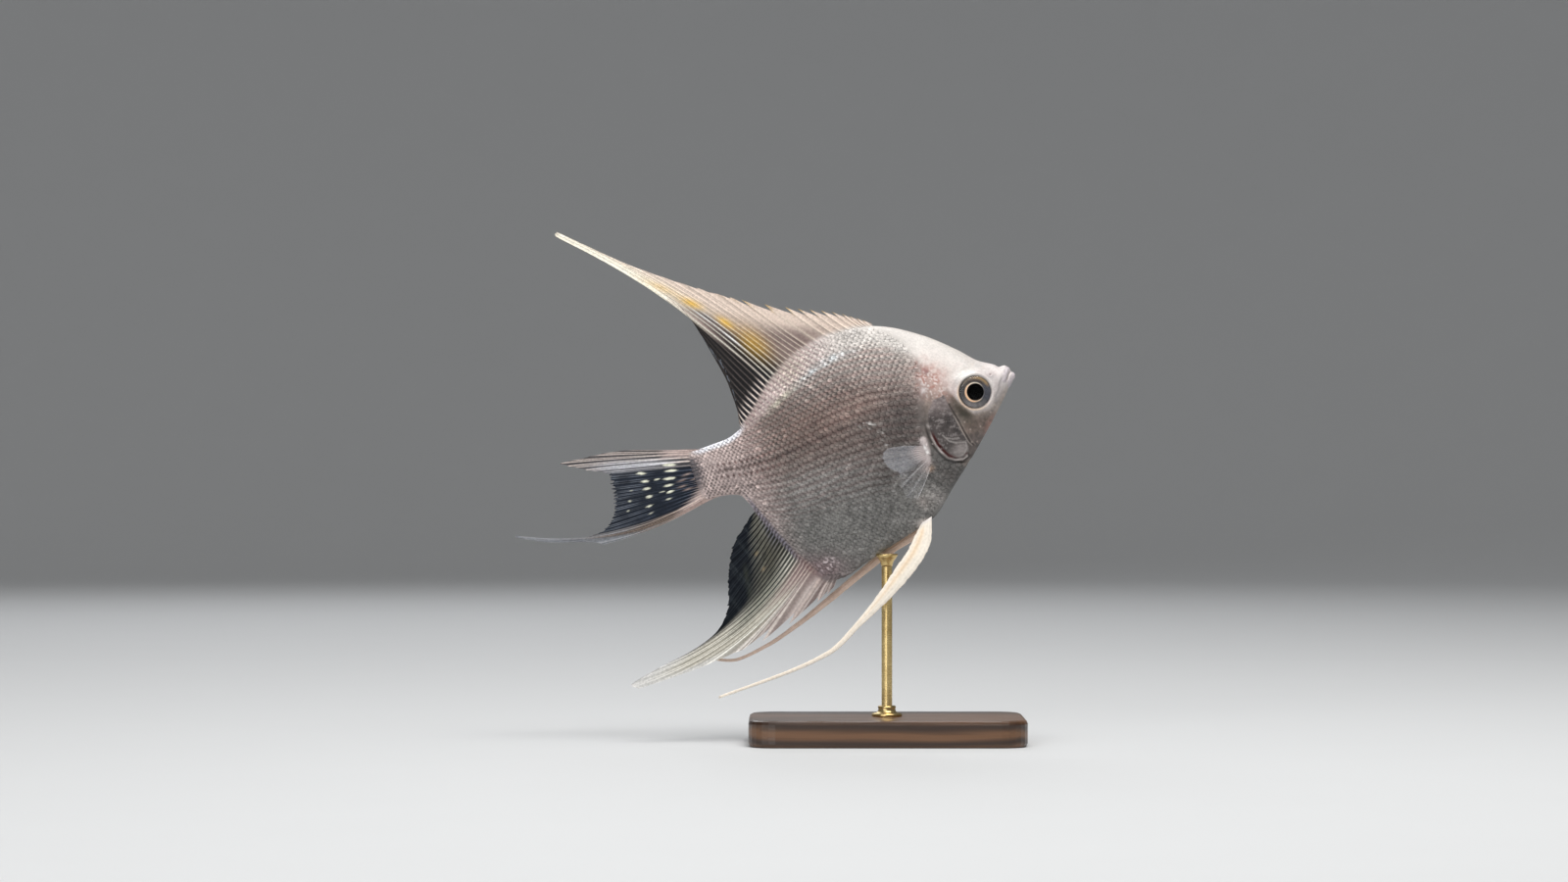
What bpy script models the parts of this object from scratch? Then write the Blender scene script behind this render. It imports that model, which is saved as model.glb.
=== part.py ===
"""Life-size freshwater angelfish on a small display stand, for a museum case.

The fish is laid out in its own frame: station (how far behind the lips), height (above the lips)
and side (negative is the fish's right). An empty then pitches that frame nose up and lifts it over
the stand. World axes: +X towards the nose, +Z up, and the right flank faces -Y. The origin is the
middle of the underside of the stand's base. Tables are in millimetres, meshes in metres.
"""
import math

import bmesh
import bpy
import numpy as np
from mathutils import Matrix

MM = 0.001
GAP = 0.3                      # clearance between neighbouring solids

# Pose: where the lips are, and how far the fish points upward
NOSE_X = 28.4
NOSE_Z = 82.5
PITCH = math.radians(18.94)

# Body: each line is (station, value)
TOP_LINE = ((-0.2, 0.5), (0.4, 1.7), (1.2, 2.7), (2.4, 3.0), (3.4, 3.8), (6.5, 5.8), (10.1, 9.6),
            (16.4, 15.2), (24.3, 20.0), (30.0, 21.8), (36.0, 22.2), (44.0, 20.8), (52.0, 16.5),
            (59.0, 10.7), (62.2, 8.6), (66.0, 7.5), (72.0, 7.4))
BELLY_LINE = ((-0.2, -0.5), (0.4, -0.9), (4.2, -4.7), (10.0, -10.2), (20.0, -18.8), (28.0, -24.9),
              (33.0, -26.1), (44.0, -28.9), (51.0, -30.6), (54.0, -30.3), (57.0, -27.4),
              (59.6, -22.9), (62.2, -16.6), (64.9, -9.7), (66.4, -6.0), (69.0, -4.8), (72.0, -4.4))
HALF_WIDTH = ((-0.2, 0.6), (1.2, 1.9), (3.2, 2.8), (6.5, 4.2), (10.0, 5.2), (16.0, 6.0),
              (23.0, 6.2), (33.0, 5.7), (46.0, 4.4), (56.0, 3.1), (64.0, 2.3), (69.5, 1.9),
              (72.0, 1.25))
EDGE_PINCH = ((0.0, 0.0), (14.0, 0.55), (60.0, 0.55), (70.0, 0.15), (72.0, 0.0))
BELT_RISE = 0.05               # widest level above mid height, as a share of the depth
BODY_FRONT = -0.2
BODY_REAR = 72.0               # the tail fin's root
BODY_STATIONS = 42
BODY_SIDES = 24

# Cuts that part the body: (station, height), from the top down
GILL_CUT = ((18.6, 24.0), (19.0, 16.0), (20.2, 8.0), (21.4, 2.0), (22.7, -2.5), (22.9, -6.0),
            (22.1, -10.2), (20.4, -13.6), (18.0, -15.4), (15.6, -22.0))
TAIL_CUT = ((52.7, 40.0), (75.3, -40.0))
MOUTH_CUT = ((-2.0, 2.2), (0.5, 0.95), (1.9, -0.9), (3.6, -3.3), (4.7, -5.0), (5.0, -8.0))
GILL_COVER = ((16.2, 0.4), (19.4, 0.2), (21.6, -2.4), (22.1, -5.6), (21.4, -9.8), (19.6, -12.9),
              (17.6, -14.2), (15.3, -13.3), (14.3, -11.0), (15.4, -5.4))
GILL_PLATE = 1.6               # thickness of the cover
COVER_SIDE = 7.0               # a block this far out and this deep holds the whole cover
COVER_BLOCK = 12.0
CUT_DEPTH = 40.0               # a cutter this deep spans the whole fish
AHEAD = -6.0                   # stations clear of the body, in front and behind
BEHIND = 80.0

# Eyes: flattened balls
EYE_AT = (9.5, -0.8)
EYE_SIDE = 3.4
EYE_RADIUS = 4.5
EYE_DEPTH = 2.4

# Fins: each key ray is (station of its root, station and height of its tip, angle at its root)
DORSAL_RAYS = ((25.6, 26.6, 21.9, 45), (30.0, 33.6, 26.6, 45), (35.5, 41.0, 30.0, 48),
               (41.0, 50.0, 34.6, 52), (45.0, 61.0, 41.9, 56), (48.0, 73.1, 51.2, 60),
               (50.5, 86.9, 63.9, 62), (51.8, 76.2, 51.6, 63), (53.2, 68.4, 43.2, 62),
               (54.8, 65.2, 38.0, 60), (56.6, 62.9, 30.0, 57), (58.4, 60.7, 23.4, 54),
               (60.0, 60.5, 16.0, 54), (61.3, 61.4, 11.0, 60))
DORSAL_TIPS = (6,)
ANAL_RAYS = ((51.4, 53.6, -32.6, -40), (52.6, 58.8, -34.5, -40), (53.8, 65.8, -36.6, -40),
             (55.0, 72.8, -38.2, -40), (56.2, 83.0, -39.0, -40), (57.3, 94.0, -39.2, -40),
             (58.3, 102.7, -39.0, -40), (58.8, 103.7, -37.8, -40), (59.6, 96.5, -36.3, -40),
             (60.5, 88.0, -35.2, -40),
             (61.4, 82.1, -33.2, -40), (62.3, 77.9, -28.8, -40), (63.2, 75.6, -22.2, -40),
             (64.1, 72.4, -16.0, -38), (64.9, 66.6, -11.0, -38))
ANAL_TIPS = (6, 7)
# The tail fin's roots are heights at the end of the tail stem
CAUDAL_RAYS = ((7.2, 79.0, 9.4, 18), (6.8, 91.0, 13.1, 18), (6.2, 102.1, 14.2, 18),
               (5.6, 97.5, 10.9, 14), (4.6, 93.0, 8.2, 10), (1.5, 93.8, 2.6, 3),
               (-1.2, 96.9, -1.8, -1), (-2.4, 100.4, -3.9, -7), (-2.9, 108.0, -2.1, -13),
               (-3.3, 117.7, 2.2, -15), (-3.6, 108.0, -2.9, -13), (-3.9, 98.5, -6.0, -9),
               (-4.2, 84.0, -5.6, -8))
CAUDAL_TIPS = (2, 9)
PECTORAL_RAYS = ((-8.4, 28.6, -7.2, 20), (-9.2, 32.2, -7.4, 14), (-10.0, 34.1, -8.6, 5),
                 (-10.8, 33.9, -11.6, -5), (-11.6, 33.5, -15.0, -20), (-12.4, 32.4, -18.4, -38),
                 (-13.2, 29.6, -19.4, -55))
PECTORAL_ROOT = 24.6
PECTORAL_LIFT = 0.22           # how fast the blade leaves the flank
PECTORAL_CLEARANCE = 0.45      # between the root and the flank
# Gentle sideways sway of the fins: (reach, amount, the station and height it starts from)
DORSAL_SWAY = (60.0, 2.4, (45.0, 20.0))
ANAL_SWAY = (50.0, -2.0, (58.0, -27.0))
CAUDAL_SWAY = (46.0, 2.6, (72.0, 1.5))
# Pelvic fins: leading edge, trailing edge and side, from the breast to the filament's tip
PELVIC_RIGHT = ((27.9, -25.8, 30.6, -26.4, -1.3), (29.5, -28.9, 32.7, -26.8, -2.6),
                (32.0, -31.7, 35.3, -29.4, -3.8), (35.8, -34.5, 38.8, -31.9, -4.6),
                (41.7, -37.8, 43.5, -35.5, -5.2), (50.5, -41.8, 51.3, -40.6, -5.8),
                (59.5, -45.7, 60.2, -44.8, -6.2), (70.5, -46.7, 70.3, -45.9, -6.3),
                (85.9, -46.9, 85.7, -46.3, -5.6))
PELVIC_LEFT = ((28.9, -27.0, 29.9, -25.8, 1.3), (31.5, -27.5, 32.9, -25.8, 2.8),
               (38.4, -29.1, 39.2, -27.2, 3.6), (47.0, -32.0, 47.6, -30.4, 3.9),
               (55.4, -35.1, 56.0, -33.7, 3.9), (63.7, -37.8, 64.1, -36.8, 3.8),
               (71.8, -39.9, 72.0, -39.1, 3.5), (79.0, -40.7, 79.0, -40.0, 3.2),
               (86.6, -37.8, 86.2, -37.3, 2.6))
FIN_ROOT = 1.3                 # thickness at the root and at the margin
FIN_MARGIN = 0.55
PELVIC_ROOT = 1.6
PELVIC_TIP = 0.6
RAY_STEPS = 3                  # columns between key rays
SPAN_STEPS = 5                 # rows from root to margin
PELVIC_STEPS = 4

# Stand
BASE_LENGTH = 62.0
BASE_WIDTH = 36.0
BASE_HEIGHT = 6.0
BASE_CORNER = 6.0
BASE_EDGE = 0.9
ROD_RADIUS = 1.2

COLOURS = {
    "nape": (0.80, 0.76, 0.71), "flank": (0.30, 0.27, 0.25), "gill": (0.16, 0.14, 0.13),
    "eye": (0.24, 0.23, 0.25), "tail": (0.42, 0.33, 0.29), "fin_tan": (0.60, 0.45, 0.36),
    "fin_ivory": (0.75, 0.70, 0.58), "fin_dark": (0.05, 0.06, 0.07),
    "fin_clear": (0.45, 0.46, 0.48), "wood": (0.10, 0.05, 0.03), "brass": (0.62, 0.47, 0.22),
}


def smooth_line(line, at):
    """Value of a (place, value) line at the given places, by cubics that don't overshoot."""
    place, value = np.array(line, dtype=float).T
    slope = np.diff(value) / np.diff(place)
    knot = np.zeros(len(place))
    same_way = slope[:-1] * slope[1:] > 0
    both = np.where(same_way, slope[:-1] + slope[1:], 1.0)
    knot[1:-1] = np.where(same_way, 2 * slope[:-1] * slope[1:] / both, 0.0)
    knot[0], knot[-1] = slope[0], slope[-1]
    at = np.clip(np.asarray(at, dtype=float), place[0], place[-1])
    i = np.clip(np.searchsorted(place, at) - 1, 0, len(place) - 2)
    width = place[i + 1] - place[i]
    t = (at - place[i]) / width
    return ((2 * t**3 - 3 * t**2 + 1) * value[i] + (t**3 - 2 * t**2 + t) * width * knot[i]
            + (3 * t**2 - 2 * t**3) * value[i + 1] + (t**3 - t**2) * width * knot[i + 1])


def smooth_rows(rows, corners=(), steps=RAY_STEPS):
    """More rows between key rows, smooth except at the corner rows."""
    rows = np.array(rows, dtype=float)
    ends = sorted({0, len(rows) - 1, *corners})
    out = []
    for first, last in zip(ends, ends[1:]):
        key = np.arange(first, last + 1)
        fine = np.linspace(first, last, (last - first) * steps + 1)
        columns = [smooth_line(np.column_stack((key, rows[key, c])), fine)
                   for c in range(rows.shape[1])]
        out.append(np.column_stack(columns)[(1 if out else 0):])
    return np.vstack(out)


def half_width(station, height):
    """Half thickness of the body at a station and height."""
    top, belly = smooth_line(TOP_LINE, station), smooth_line(BELLY_LINE, station)
    belt = (top + belly) / 2 + BELT_RISE * (top - belly)
    reach = np.where(height > belt, top - belt, belt - belly)
    t = np.clip((height - belt) / reach, -1, 1)
    wide = smooth_line(HALF_WIDTH, station)
    return wide * np.sqrt(1 - t * t) * (1 - smooth_line(EDGE_PINCH, station) * t * t)


def to_frame(station, side, height):
    """Fish measures in millimetres to its own frame in metres, with +X forward and +Z up."""
    return np.stack(np.broadcast_arrays(-station, side, height), axis=-1) * MM


def add_object(name, mesh, place=None, hidden=False):
    """Link a mesh object to the model, or to the cutters, and parent it to the pose empty."""
    item = bpy.data.objects.new(name, mesh)
    (cutters if hidden else model).objects.link(item)
    item.parent = place
    if hidden:
        item.hide_render = True
        item.display_type = "WIRE"
    return item


def mesh_from(name, points, faces):
    """A mesh with its faces turned outward."""
    mesh = bpy.data.meshes.new(name)
    mesh.from_pydata(points.reshape(-1, 3).tolist(), [], faces)
    shape = bmesh.new()
    shape.from_mesh(mesh)
    bmesh.ops.recalc_face_normals(shape, faces=shape.faces)
    shape.to_mesh(mesh)
    shape.free()
    mesh.shade_smooth()
    return mesh


def loft(name, rings):
    """Closed solid through rings of points, capped at both ends."""
    count, sides = rings.shape[:2]
    faces = [(r * sides + k, r * sides + (k + 1) % sides,
              (r + 1) * sides + (k + 1) % sides, (r + 1) * sides + k)
             for r in range(count - 1) for k in range(sides)]
    faces.append(tuple(range(sides))[::-1])
    faces.append(tuple((count - 1) * sides + k for k in range(sides)))
    return mesh_from(name, rings, faces)


def body_mesh(name, inset=0.0):
    """The whole trunk and head: rings pinched to thin edges along the back and the belly."""
    share = np.linspace(0, 1, BODY_STATIONS)
    station = BODY_FRONT + (BODY_REAR - BODY_FRONT) * (0.3 * share + 0.7 * share**1.5)
    angle = np.arange(BODY_SIDES) * 2 * math.pi / BODY_SIDES
    rings = []
    for s in station:
        top, belly = smooth_line(TOP_LINE, s), smooth_line(BELLY_LINE, s)
        belt = (top + belly) / 2 + BELT_RISE * (top - belly)
        lift = np.sin(angle)
        height = belt + np.where(lift > 0, top - belt, belt - belly) * lift
        wide = smooth_line(HALF_WIDTH, s)
        wide = max(wide - inset, wide / 5)
        side = wide * np.cos(angle) * (1 - smooth_line(EDGE_PINCH, s) * lift**2)
        rings.append(to_frame(s, side, height))
    return loft(name, np.array(rings))


def prism(name, outline, depth, side=0.0):
    """Cutter: a flat outline of stations and heights, thickened across the fish."""
    curve = bpy.data.curves.new(name, "CURVE")
    curve.dimensions = "2D"
    curve.fill_mode = "BOTH"
    curve.extrude = depth * MM / 2
    spline = curve.splines.new("POLY")
    spline.points.add(len(outline) - 1)
    for point, (station, height) in zip(spline.points, outline):
        point.co = (-station * MM, height * MM, 0, 1)
    spline.use_cyclic_u = True
    holder = bpy.data.objects.new(name, curve)
    cutters.objects.link(holder)
    bpy.context.view_layer.update()
    mesh = bpy.data.meshes.new_from_object(holder.evaluated_get(bpy.context.evaluated_depsgraph_get()))
    bpy.data.objects.remove(holder)
    shape = bmesh.new()
    shape.from_mesh(mesh)
    bmesh.ops.remove_doubles(shape, verts=shape.verts, dist=1e-7)
    bmesh.ops.recalc_face_normals(shape, faces=shape.faces)
    upright = Matrix.Translation((0, side * MM, 0)) @ Matrix.Rotation(math.pi / 2, 4, "X")
    bmesh.ops.transform(shape, matrix=upright, verts=shape.verts)
    shape.to_mesh(mesh)
    shape.free()
    return add_object(name, mesh, pose, hidden=True)


def grown(outline, by):
    """A closed outline with each point pushed outward."""
    points = np.array(outline, dtype=float)
    along = np.roll(points, -1, 0) - np.roll(points, 1, 0)
    along /= np.linalg.norm(along, axis=1, keepdims=True)
    outward = np.column_stack((-along[:, 1], along[:, 0]))
    middle = points.mean(0)
    if ((points - middle) * outward).sum() < 0:
        outward = -outward
    return points + outward * by


def beyond(cut, shift, far):
    """Outline of all that lies past a cut line, which is moved along the fish by a shift."""
    line = smooth_rows(cut, steps=3)
    line[:, 0] += shift
    return [(far, line[0, 1]), *line, (far, line[-1, 1])]


def boolean(item, operation, cutter):
    """Add an exact Boolean modifier."""
    modifier = item.modifiers.new(f"{operation.lower()}_{cutter.name}", "BOOLEAN")
    modifier.operation = operation
    modifier.object = cutter
    modifier.solver = "EXACT"


def material(item, colour, roughness=0.45, metallic=0.0):
    """Give an object its own Principled material."""
    finish = bpy.data.materials.new(item.name)
    finish.use_nodes = True
    shader = finish.node_tree.nodes["Principled BSDF"]
    shader.inputs["Base Color"].default_value = (*COLOURS[colour], 1)
    shader.inputs["Roughness"].default_value = roughness
    shader.inputs["Metallic"].default_value = metallic
    item.data.materials.append(finish)


def eyeball(name, side, extra=0.0, hidden=False):
    """A flattened ball in the side of the head."""
    mesh = bpy.data.meshes.new(name)
    shape = bmesh.new()
    place = Matrix.Translation(to_frame(EYE_AT[0], side * EYE_SIDE, EYE_AT[1]))
    size = Matrix.Diagonal(((EYE_RADIUS + extra) * MM, (EYE_DEPTH + extra) * MM,
                            (EYE_RADIUS + extra) * MM, 1))
    bmesh.ops.create_uvsphere(shape, u_segments=20, v_segments=10, radius=1.0,
                              matrix=place @ size @ Matrix.Rotation(math.pi / 2, 4, "X"))
    shape.to_mesh(mesh)
    shape.free()
    mesh.shade_smooth()
    return add_object(name, mesh, pose, hidden)


def build_body():
    """Head, jaw, gill covers, trunk and tail stem, all cut from one form."""
    cut_head = prism("cut_head", beyond(GILL_CUT, -GAP / 2, AHEAD), CUT_DEPTH)
    cut_front = prism("cut_front", beyond(GILL_CUT, GAP / 2, AHEAD), CUT_DEPTH)
    cut_rear = prism("cut_rear", beyond(TAIL_CUT, -GAP / 2, BEHIND), CUT_DEPTH)
    cut_stem = prism("cut_stem", beyond(TAIL_CUT, GAP / 2, AHEAD), CUT_DEPTH)
    jaw_line = smooth_rows(MOUTH_CUT, corners=(1,), steps=3)
    chin = (jaw_line[0, 0], jaw_line[-1, 1])
    cut_jaw = prism("cut_jaw", [*jaw_line, chin], CUT_DEPTH)
    clear_jaw = prism("clear_jaw", [*(jaw_line + (GAP * 0.8, GAP * 0.5)), chin], CUT_DEPTH)

    head = add_object("head", body_mesh("head"), pose)
    boolean(head, "INTERSECT", cut_head)
    boolean(head, "DIFFERENCE", clear_jaw)
    material(head, "nape")
    jaw = add_object("lower_jaw", body_mesh("lower_jaw"), pose)
    boolean(jaw, "INTERSECT", cut_jaw)
    material(jaw, "nape")
    trunk = add_object("trunk", body_mesh("trunk"), pose)
    boolean(trunk, "DIFFERENCE", cut_front)
    boolean(trunk, "DIFFERENCE", cut_rear)
    material(trunk, "flank")
    stem = add_object("tail_stem", body_mesh("tail_stem"), pose)
    boolean(stem, "DIFFERENCE", cut_stem)
    material(stem, "tail")

    core = add_object("core", body_mesh("core", GILL_PLATE), pose, hidden=True)
    deep_core = add_object("deep_core", body_mesh("deep_core", GILL_PLATE + GAP), pose, hidden=True)
    cover_line = smooth_rows([*GILL_COVER, GILL_COVER[0]], steps=3)[:-1]
    for word, side in (("right", -1), ("left", 1)):
        window = prism(f"window_{word}", cover_line, COVER_BLOCK, side * COVER_SIDE)
        pocket = prism(f"pocket_{word}", grown(cover_line, GAP), COVER_BLOCK + 1, side * COVER_SIDE)
        boolean(pocket, "DIFFERENCE", deep_core)
        boolean(head, "DIFFERENCE", pocket)
        cover = add_object(f"gill_cover_{word}", body_mesh("gill_cover"), pose)
        boolean(cover, "INTERSECT", window)
        boolean(cover, "DIFFERENCE", core)
        material(cover, "gill")
        boolean(head, "DIFFERENCE", eyeball(f"socket_{word}", side, GAP, hidden=True))
        material(eyeball(f"eye_{word}", side), "eye", 0.08)


def off_outline(line, station, by):
    """Points beside the back or belly line, moved away from the body by a clearance."""
    step = 0.05
    height = smooth_line(line, station)
    rise = (smooth_line(line, station + step) - smooth_line(line, station - step)) / (2 * step)
    away = np.column_stack((-rise, np.ones_like(rise))) / np.sqrt(1 + rise**2)[:, None]
    if line is BELLY_LINE:
        away = -away
    return np.column_stack((station, height)) + away * by


def ray_sheet(root, rays):
    """Rays from root to tip: quadratic arcs that leave the root at each ray's own angle."""
    span = np.linspace(0, 1, SPAN_STEPS + 1)[None, :, None]
    root, tip = root[:, None, :], rays[:, None, 1:3]
    angle = np.radians(rays[:, None, 3])
    reach = np.linalg.norm(tip - root, axis=-1, keepdims=True) / 2
    knee = root + reach * np.stack((np.cos(angle), np.sin(angle)), -1)
    return (1 - span) ** 2 * root + 2 * span * (1 - span) * knee + span**2 * tip


def fin_mesh(name, sheet, side, thick):
    """A thin closed blade: two sheets either side of the middle, joined round the edge."""
    columns, rows = sheet.shape[:2]
    near = to_frame(sheet[..., 0], side - thick / 2, sheet[..., 1])
    far = to_frame(sheet[..., 0], side + thick / 2, sheet[..., 1])
    count = columns * rows
    number = np.arange(count).reshape(columns, rows)
    corner = np.stack((number[:-1, :-1], number[1:, :-1], number[1:, 1:], number[:-1, 1:]), -1)
    corner = corner.reshape(-1, 4)
    edge = np.concatenate((number[:, 0], number[-1, 1:], number[-2::-1, -1], number[0, -2:0:-1]))
    after = np.roll(edge, -1)
    rim = np.stack((edge, after, after + count, edge + count), -1)
    faces = [*corner[:, ::-1].tolist(), *(corner + count).tolist(), *rim.tolist()]
    return mesh_from(name, np.concatenate((near.reshape(-1, 3), far.reshape(-1, 3))), faces)


def blade_thickness(sheet):
    """Thickness that falls from root to margin."""
    span = np.linspace(0, 1, sheet.shape[1])[None, :]
    return np.broadcast_to(FIN_ROOT + (FIN_MARGIN - FIN_ROOT) * span**0.6, sheet.shape[:2])


def sway(sheet, reach, amount, start):
    """Sideways drift that grows with distance behind a starting point."""
    gone = np.linalg.norm(sheet - np.array(start), axis=-1) / reach
    return amount * gone**2 * np.sin(gone * 2.2)


def median_fin(name, root, rays, bend, colour):
    """One fan of rays on the mid-plane."""
    sheet = ray_sheet(root, rays)
    mesh = fin_mesh(name, sheet, sway(sheet, *bend), blade_thickness(sheet))
    material(add_object(name, mesh, pose), colour)


def build_median_fins():
    """Dorsal, anal and tail fins."""
    rays = smooth_rows(DORSAL_RAYS, DORSAL_TIPS)
    root = off_outline(TOP_LINE, rays[:, 0], GAP)
    median_fin("dorsal_fin", root, rays, DORSAL_SWAY, "fin_tan")
    rays = smooth_rows(ANAL_RAYS, ANAL_TIPS)
    root = off_outline(BELLY_LINE, rays[:, 0], GAP)
    median_fin("anal_fin", root, rays, ANAL_SWAY, "fin_ivory")
    rays = smooth_rows(CAUDAL_RAYS, CAUDAL_TIPS)
    root = np.column_stack((np.full(len(rays), BODY_REAR + GAP), rays[:, 0]))
    median_fin("caudal_fin", root, rays, CAUDAL_SWAY, "fin_dark")


def build_pectoral_fins():
    """Small fans just behind the gill covers, lifting off the flanks."""
    rays = smooth_rows(PECTORAL_RAYS, steps=2)
    root = np.column_stack((np.full(len(rays), PECTORAL_ROOT), rays[:, 0]))
    sheet = ray_sheet(root, rays)
    span = np.linalg.norm(sheet - root[:, None, :], axis=-1)
    thick = np.full(sheet.shape[:2], FIN_MARGIN)
    stand_off = half_width(sheet[..., 0], sheet[..., 1]) + PECTORAL_CLEARANCE + FIN_MARGIN / 2
    lift = stand_off + PECTORAL_LIFT * span
    for word, side in (("right", -1), ("left", 1)):
        mesh = fin_mesh(f"pectoral_fin_{word}", sheet, side * lift, thick)
        material(add_object(f"pectoral_fin_{word}", mesh, pose), "fin_clear")


def build_pelvic_fins():
    """Long feelers under the breast: flattened lofts that narrow to filaments."""
    for name, table in (("pelvic_fin_right", PELVIC_RIGHT), ("pelvic_fin_left", PELVIC_LEFT)):
        rows = smooth_rows(table, steps=PELVIC_STEPS)
        lead, trail, side = rows[:, None, 0:2], rows[:, None, 2:4], rows[:, None, 4]
        angle = np.arange(8) * math.pi / 4
        along = np.linspace(0, 1, len(rows))[:, None]
        thick = PELVIC_ROOT + (PELVIC_TIP - PELVIC_ROOT) * along**0.7
        flat = (lead + trail) / 2 + (trail - lead) / 2 * np.cos(angle)[None, :, None]
        rings = to_frame(flat[..., 0], side + thick / 2 * np.sin(angle), flat[..., 1])
        material(add_object(name, loft(name, rings), pose), "fin_ivory")


def build_stand():
    """A flat base with rounded corners, and one rod up to the belly."""
    mesh = bpy.data.meshes.new("stand_base")
    shape = bmesh.new()
    size = Matrix.Diagonal((BASE_LENGTH * MM, BASE_WIDTH * MM, BASE_HEIGHT * MM, 1))
    bmesh.ops.create_cube(shape, size=1.0, matrix=size)
    bmesh.ops.translate(shape, vec=(0, 0, BASE_HEIGHT * MM / 2), verts=shape.verts)
    upright = [e for e in shape.edges if abs(e.verts[0].co.z - e.verts[1].co.z) > MM]
    bmesh.ops.bevel(shape, geom=upright, offset=BASE_CORNER * MM, segments=6, profile=0.5,
                    affect="EDGES")
    shape.to_mesh(mesh)
    shape.free()
    base = add_object("stand_base", mesh)
    rounding = base.modifiers.new("rounded_edges", "BEVEL")
    rounding.width = BASE_EDGE * MM
    rounding.segments = 2
    rounding.limit_method = "ANGLE"
    rounding.angle_limit = math.radians(50)
    material(base, "wood", 0.35)

    # The rod stands at x = 0: find where that upright meets the belly line
    station = np.linspace(30, 50, 400)
    belly = smooth_line(BELLY_LINE, station)
    over = NOSE_X - station * math.cos(PITCH) - belly * math.sin(PITCH)
    level = NOSE_Z - station * math.sin(PITCH) + belly * math.cos(PITCH)
    top = level[np.abs(over) < ROD_RADIUS + 0.2].min() - GAP
    foot = BASE_HEIGHT + GAP
    bpy.ops.mesh.primitive_cylinder_add(vertices=20, radius=ROD_RADIUS * MM, depth=(top - foot) * MM,
                                        location=(0, 0, (top + foot) * MM / 2))
    rod = bpy.context.object
    rod.name = "stand_rod"
    for collection in list(rod.users_collection):
        collection.objects.unlink(rod)
    model.objects.link(rod)
    material(rod, "brass", 0.25, 1.0)


def main():
    """Build every sub-part."""
    build_body()
    build_median_fins()
    build_pectoral_fins()
    build_pelvic_fins()
    build_stand()


for old in list(bpy.data.objects):
    bpy.data.objects.remove(old)
model = bpy.data.collections.new("angelfish")
cutters = bpy.data.collections.new("cutters")
for group in (model, cutters):
    bpy.context.scene.collection.children.link(group)
pose = bpy.data.objects.new("pose", None)
pose.location = (NOSE_X * MM, 0, NOSE_Z * MM)
pose.rotation_euler = (0, -PITCH, 0)
model.objects.link(pose)
main()
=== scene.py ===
"""Looks of a life-size freshwater angelfish, held on a small display stand.

The fish is worked out in its own measures: x is minus the station (how far behind the lips), y is
the side (negative is the fish's right) and z the height above the lips, all in millimetres. A pose
turns those measures nose up and lifts them over the stand. Every surface is computed as whole
arrays, and each piece carries its own painted tint, which its finish reads.
"""
import logging
import math
from dataclasses import dataclass
from enum import Enum

import bpy
import numpy as np
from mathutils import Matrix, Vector


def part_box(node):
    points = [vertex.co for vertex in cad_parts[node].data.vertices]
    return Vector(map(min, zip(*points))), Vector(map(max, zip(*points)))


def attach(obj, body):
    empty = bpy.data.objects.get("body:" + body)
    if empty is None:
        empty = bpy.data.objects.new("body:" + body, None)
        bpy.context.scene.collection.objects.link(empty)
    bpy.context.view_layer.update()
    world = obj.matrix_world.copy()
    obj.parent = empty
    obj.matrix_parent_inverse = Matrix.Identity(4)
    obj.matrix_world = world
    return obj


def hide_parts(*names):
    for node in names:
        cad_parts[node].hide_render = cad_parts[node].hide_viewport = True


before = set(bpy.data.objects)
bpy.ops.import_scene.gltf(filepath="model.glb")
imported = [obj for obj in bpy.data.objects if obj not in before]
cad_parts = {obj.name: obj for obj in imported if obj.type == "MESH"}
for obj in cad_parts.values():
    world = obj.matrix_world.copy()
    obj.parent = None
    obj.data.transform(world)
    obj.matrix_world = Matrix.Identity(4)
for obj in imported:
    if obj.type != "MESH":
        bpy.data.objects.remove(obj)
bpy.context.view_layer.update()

Array = np.ndarray
Rgb = tuple[float, float, float]
Material = bpy.types.Material
Socket = bpy.types.NodeSocket
MM = 0.001
log = logging.getLogger("angelfish")


# ---------------- small shared sums


def smooth(low: float, high: float, at: Array) -> Array:
    """An S-shaped step that is 0 below low and 1 above high."""
    t = np.clip((np.asarray(at, float) - low) / (high - low), 0, 1)
    return t * t * (3 - 2 * t)


def hump(at: Array, middle: float, width: float) -> Array:
    """A bell that is 1 at its middle and falls to about a third one width away."""
    return np.exp(-(((at - middle) / width) ** 2))


def spot(station: Array, height: Array, at: tuple[float, float], along: float, across: float,
         turn: float = 0) -> Array:
    """A soft oval spot.

    Args:
        station: Stations of the points.
        height: Heights of the points.
        at: Station and height of its middle.
        along: Its half length.
        across: Its half breadth.
        turn: Its slope in degrees, up towards the tail.

    Returns:
        1 at the middle, falling to nothing.
    """
    c, s = math.cos(math.radians(turn)), math.sin(math.radians(turn))
    ds, dh = station - at[0], height - at[1]
    return np.exp(-(((ds * c + dh * s) / along) ** 2) - ((dh * c - ds * s) / across) ** 2)


def mix(first: Array | Rgb, second: Array | Rgb, share: Array) -> Array:
    """Colours part of the way from the first to the second."""
    first, second = np.asarray(first, float), np.asarray(second, float)
    return first + (second - first) * np.asarray(share, float)[..., None]


def dabs(out: Array, s: Array, h: Array, *rows: tuple) -> Array:
    """Soft oval spots laid over a coat of colour, one after another.

    Args:
        out: Colours so far.
        s: Stations of the points.
        h: Heights of the points.
        rows: For each spot its colour, its strength, then what `spot` takes.

    Returns:
        Colours with the spots laid on.
    """
    for colour, share, *oval in rows:
        out = mix(out, colour, spot(s, h, *oval) * share)
    return out


def flat(colour: Rgb, like: Array) -> Array:
    """One colour at every point of an array."""
    return np.broadcast_to(np.array(colour, float), (*np.shape(like), 3)).copy()


def turns(count: int) -> Array:
    """A row of angles, evenly round a circle."""
    return np.arange(count)[None, :] * 2 * math.pi / count


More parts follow.
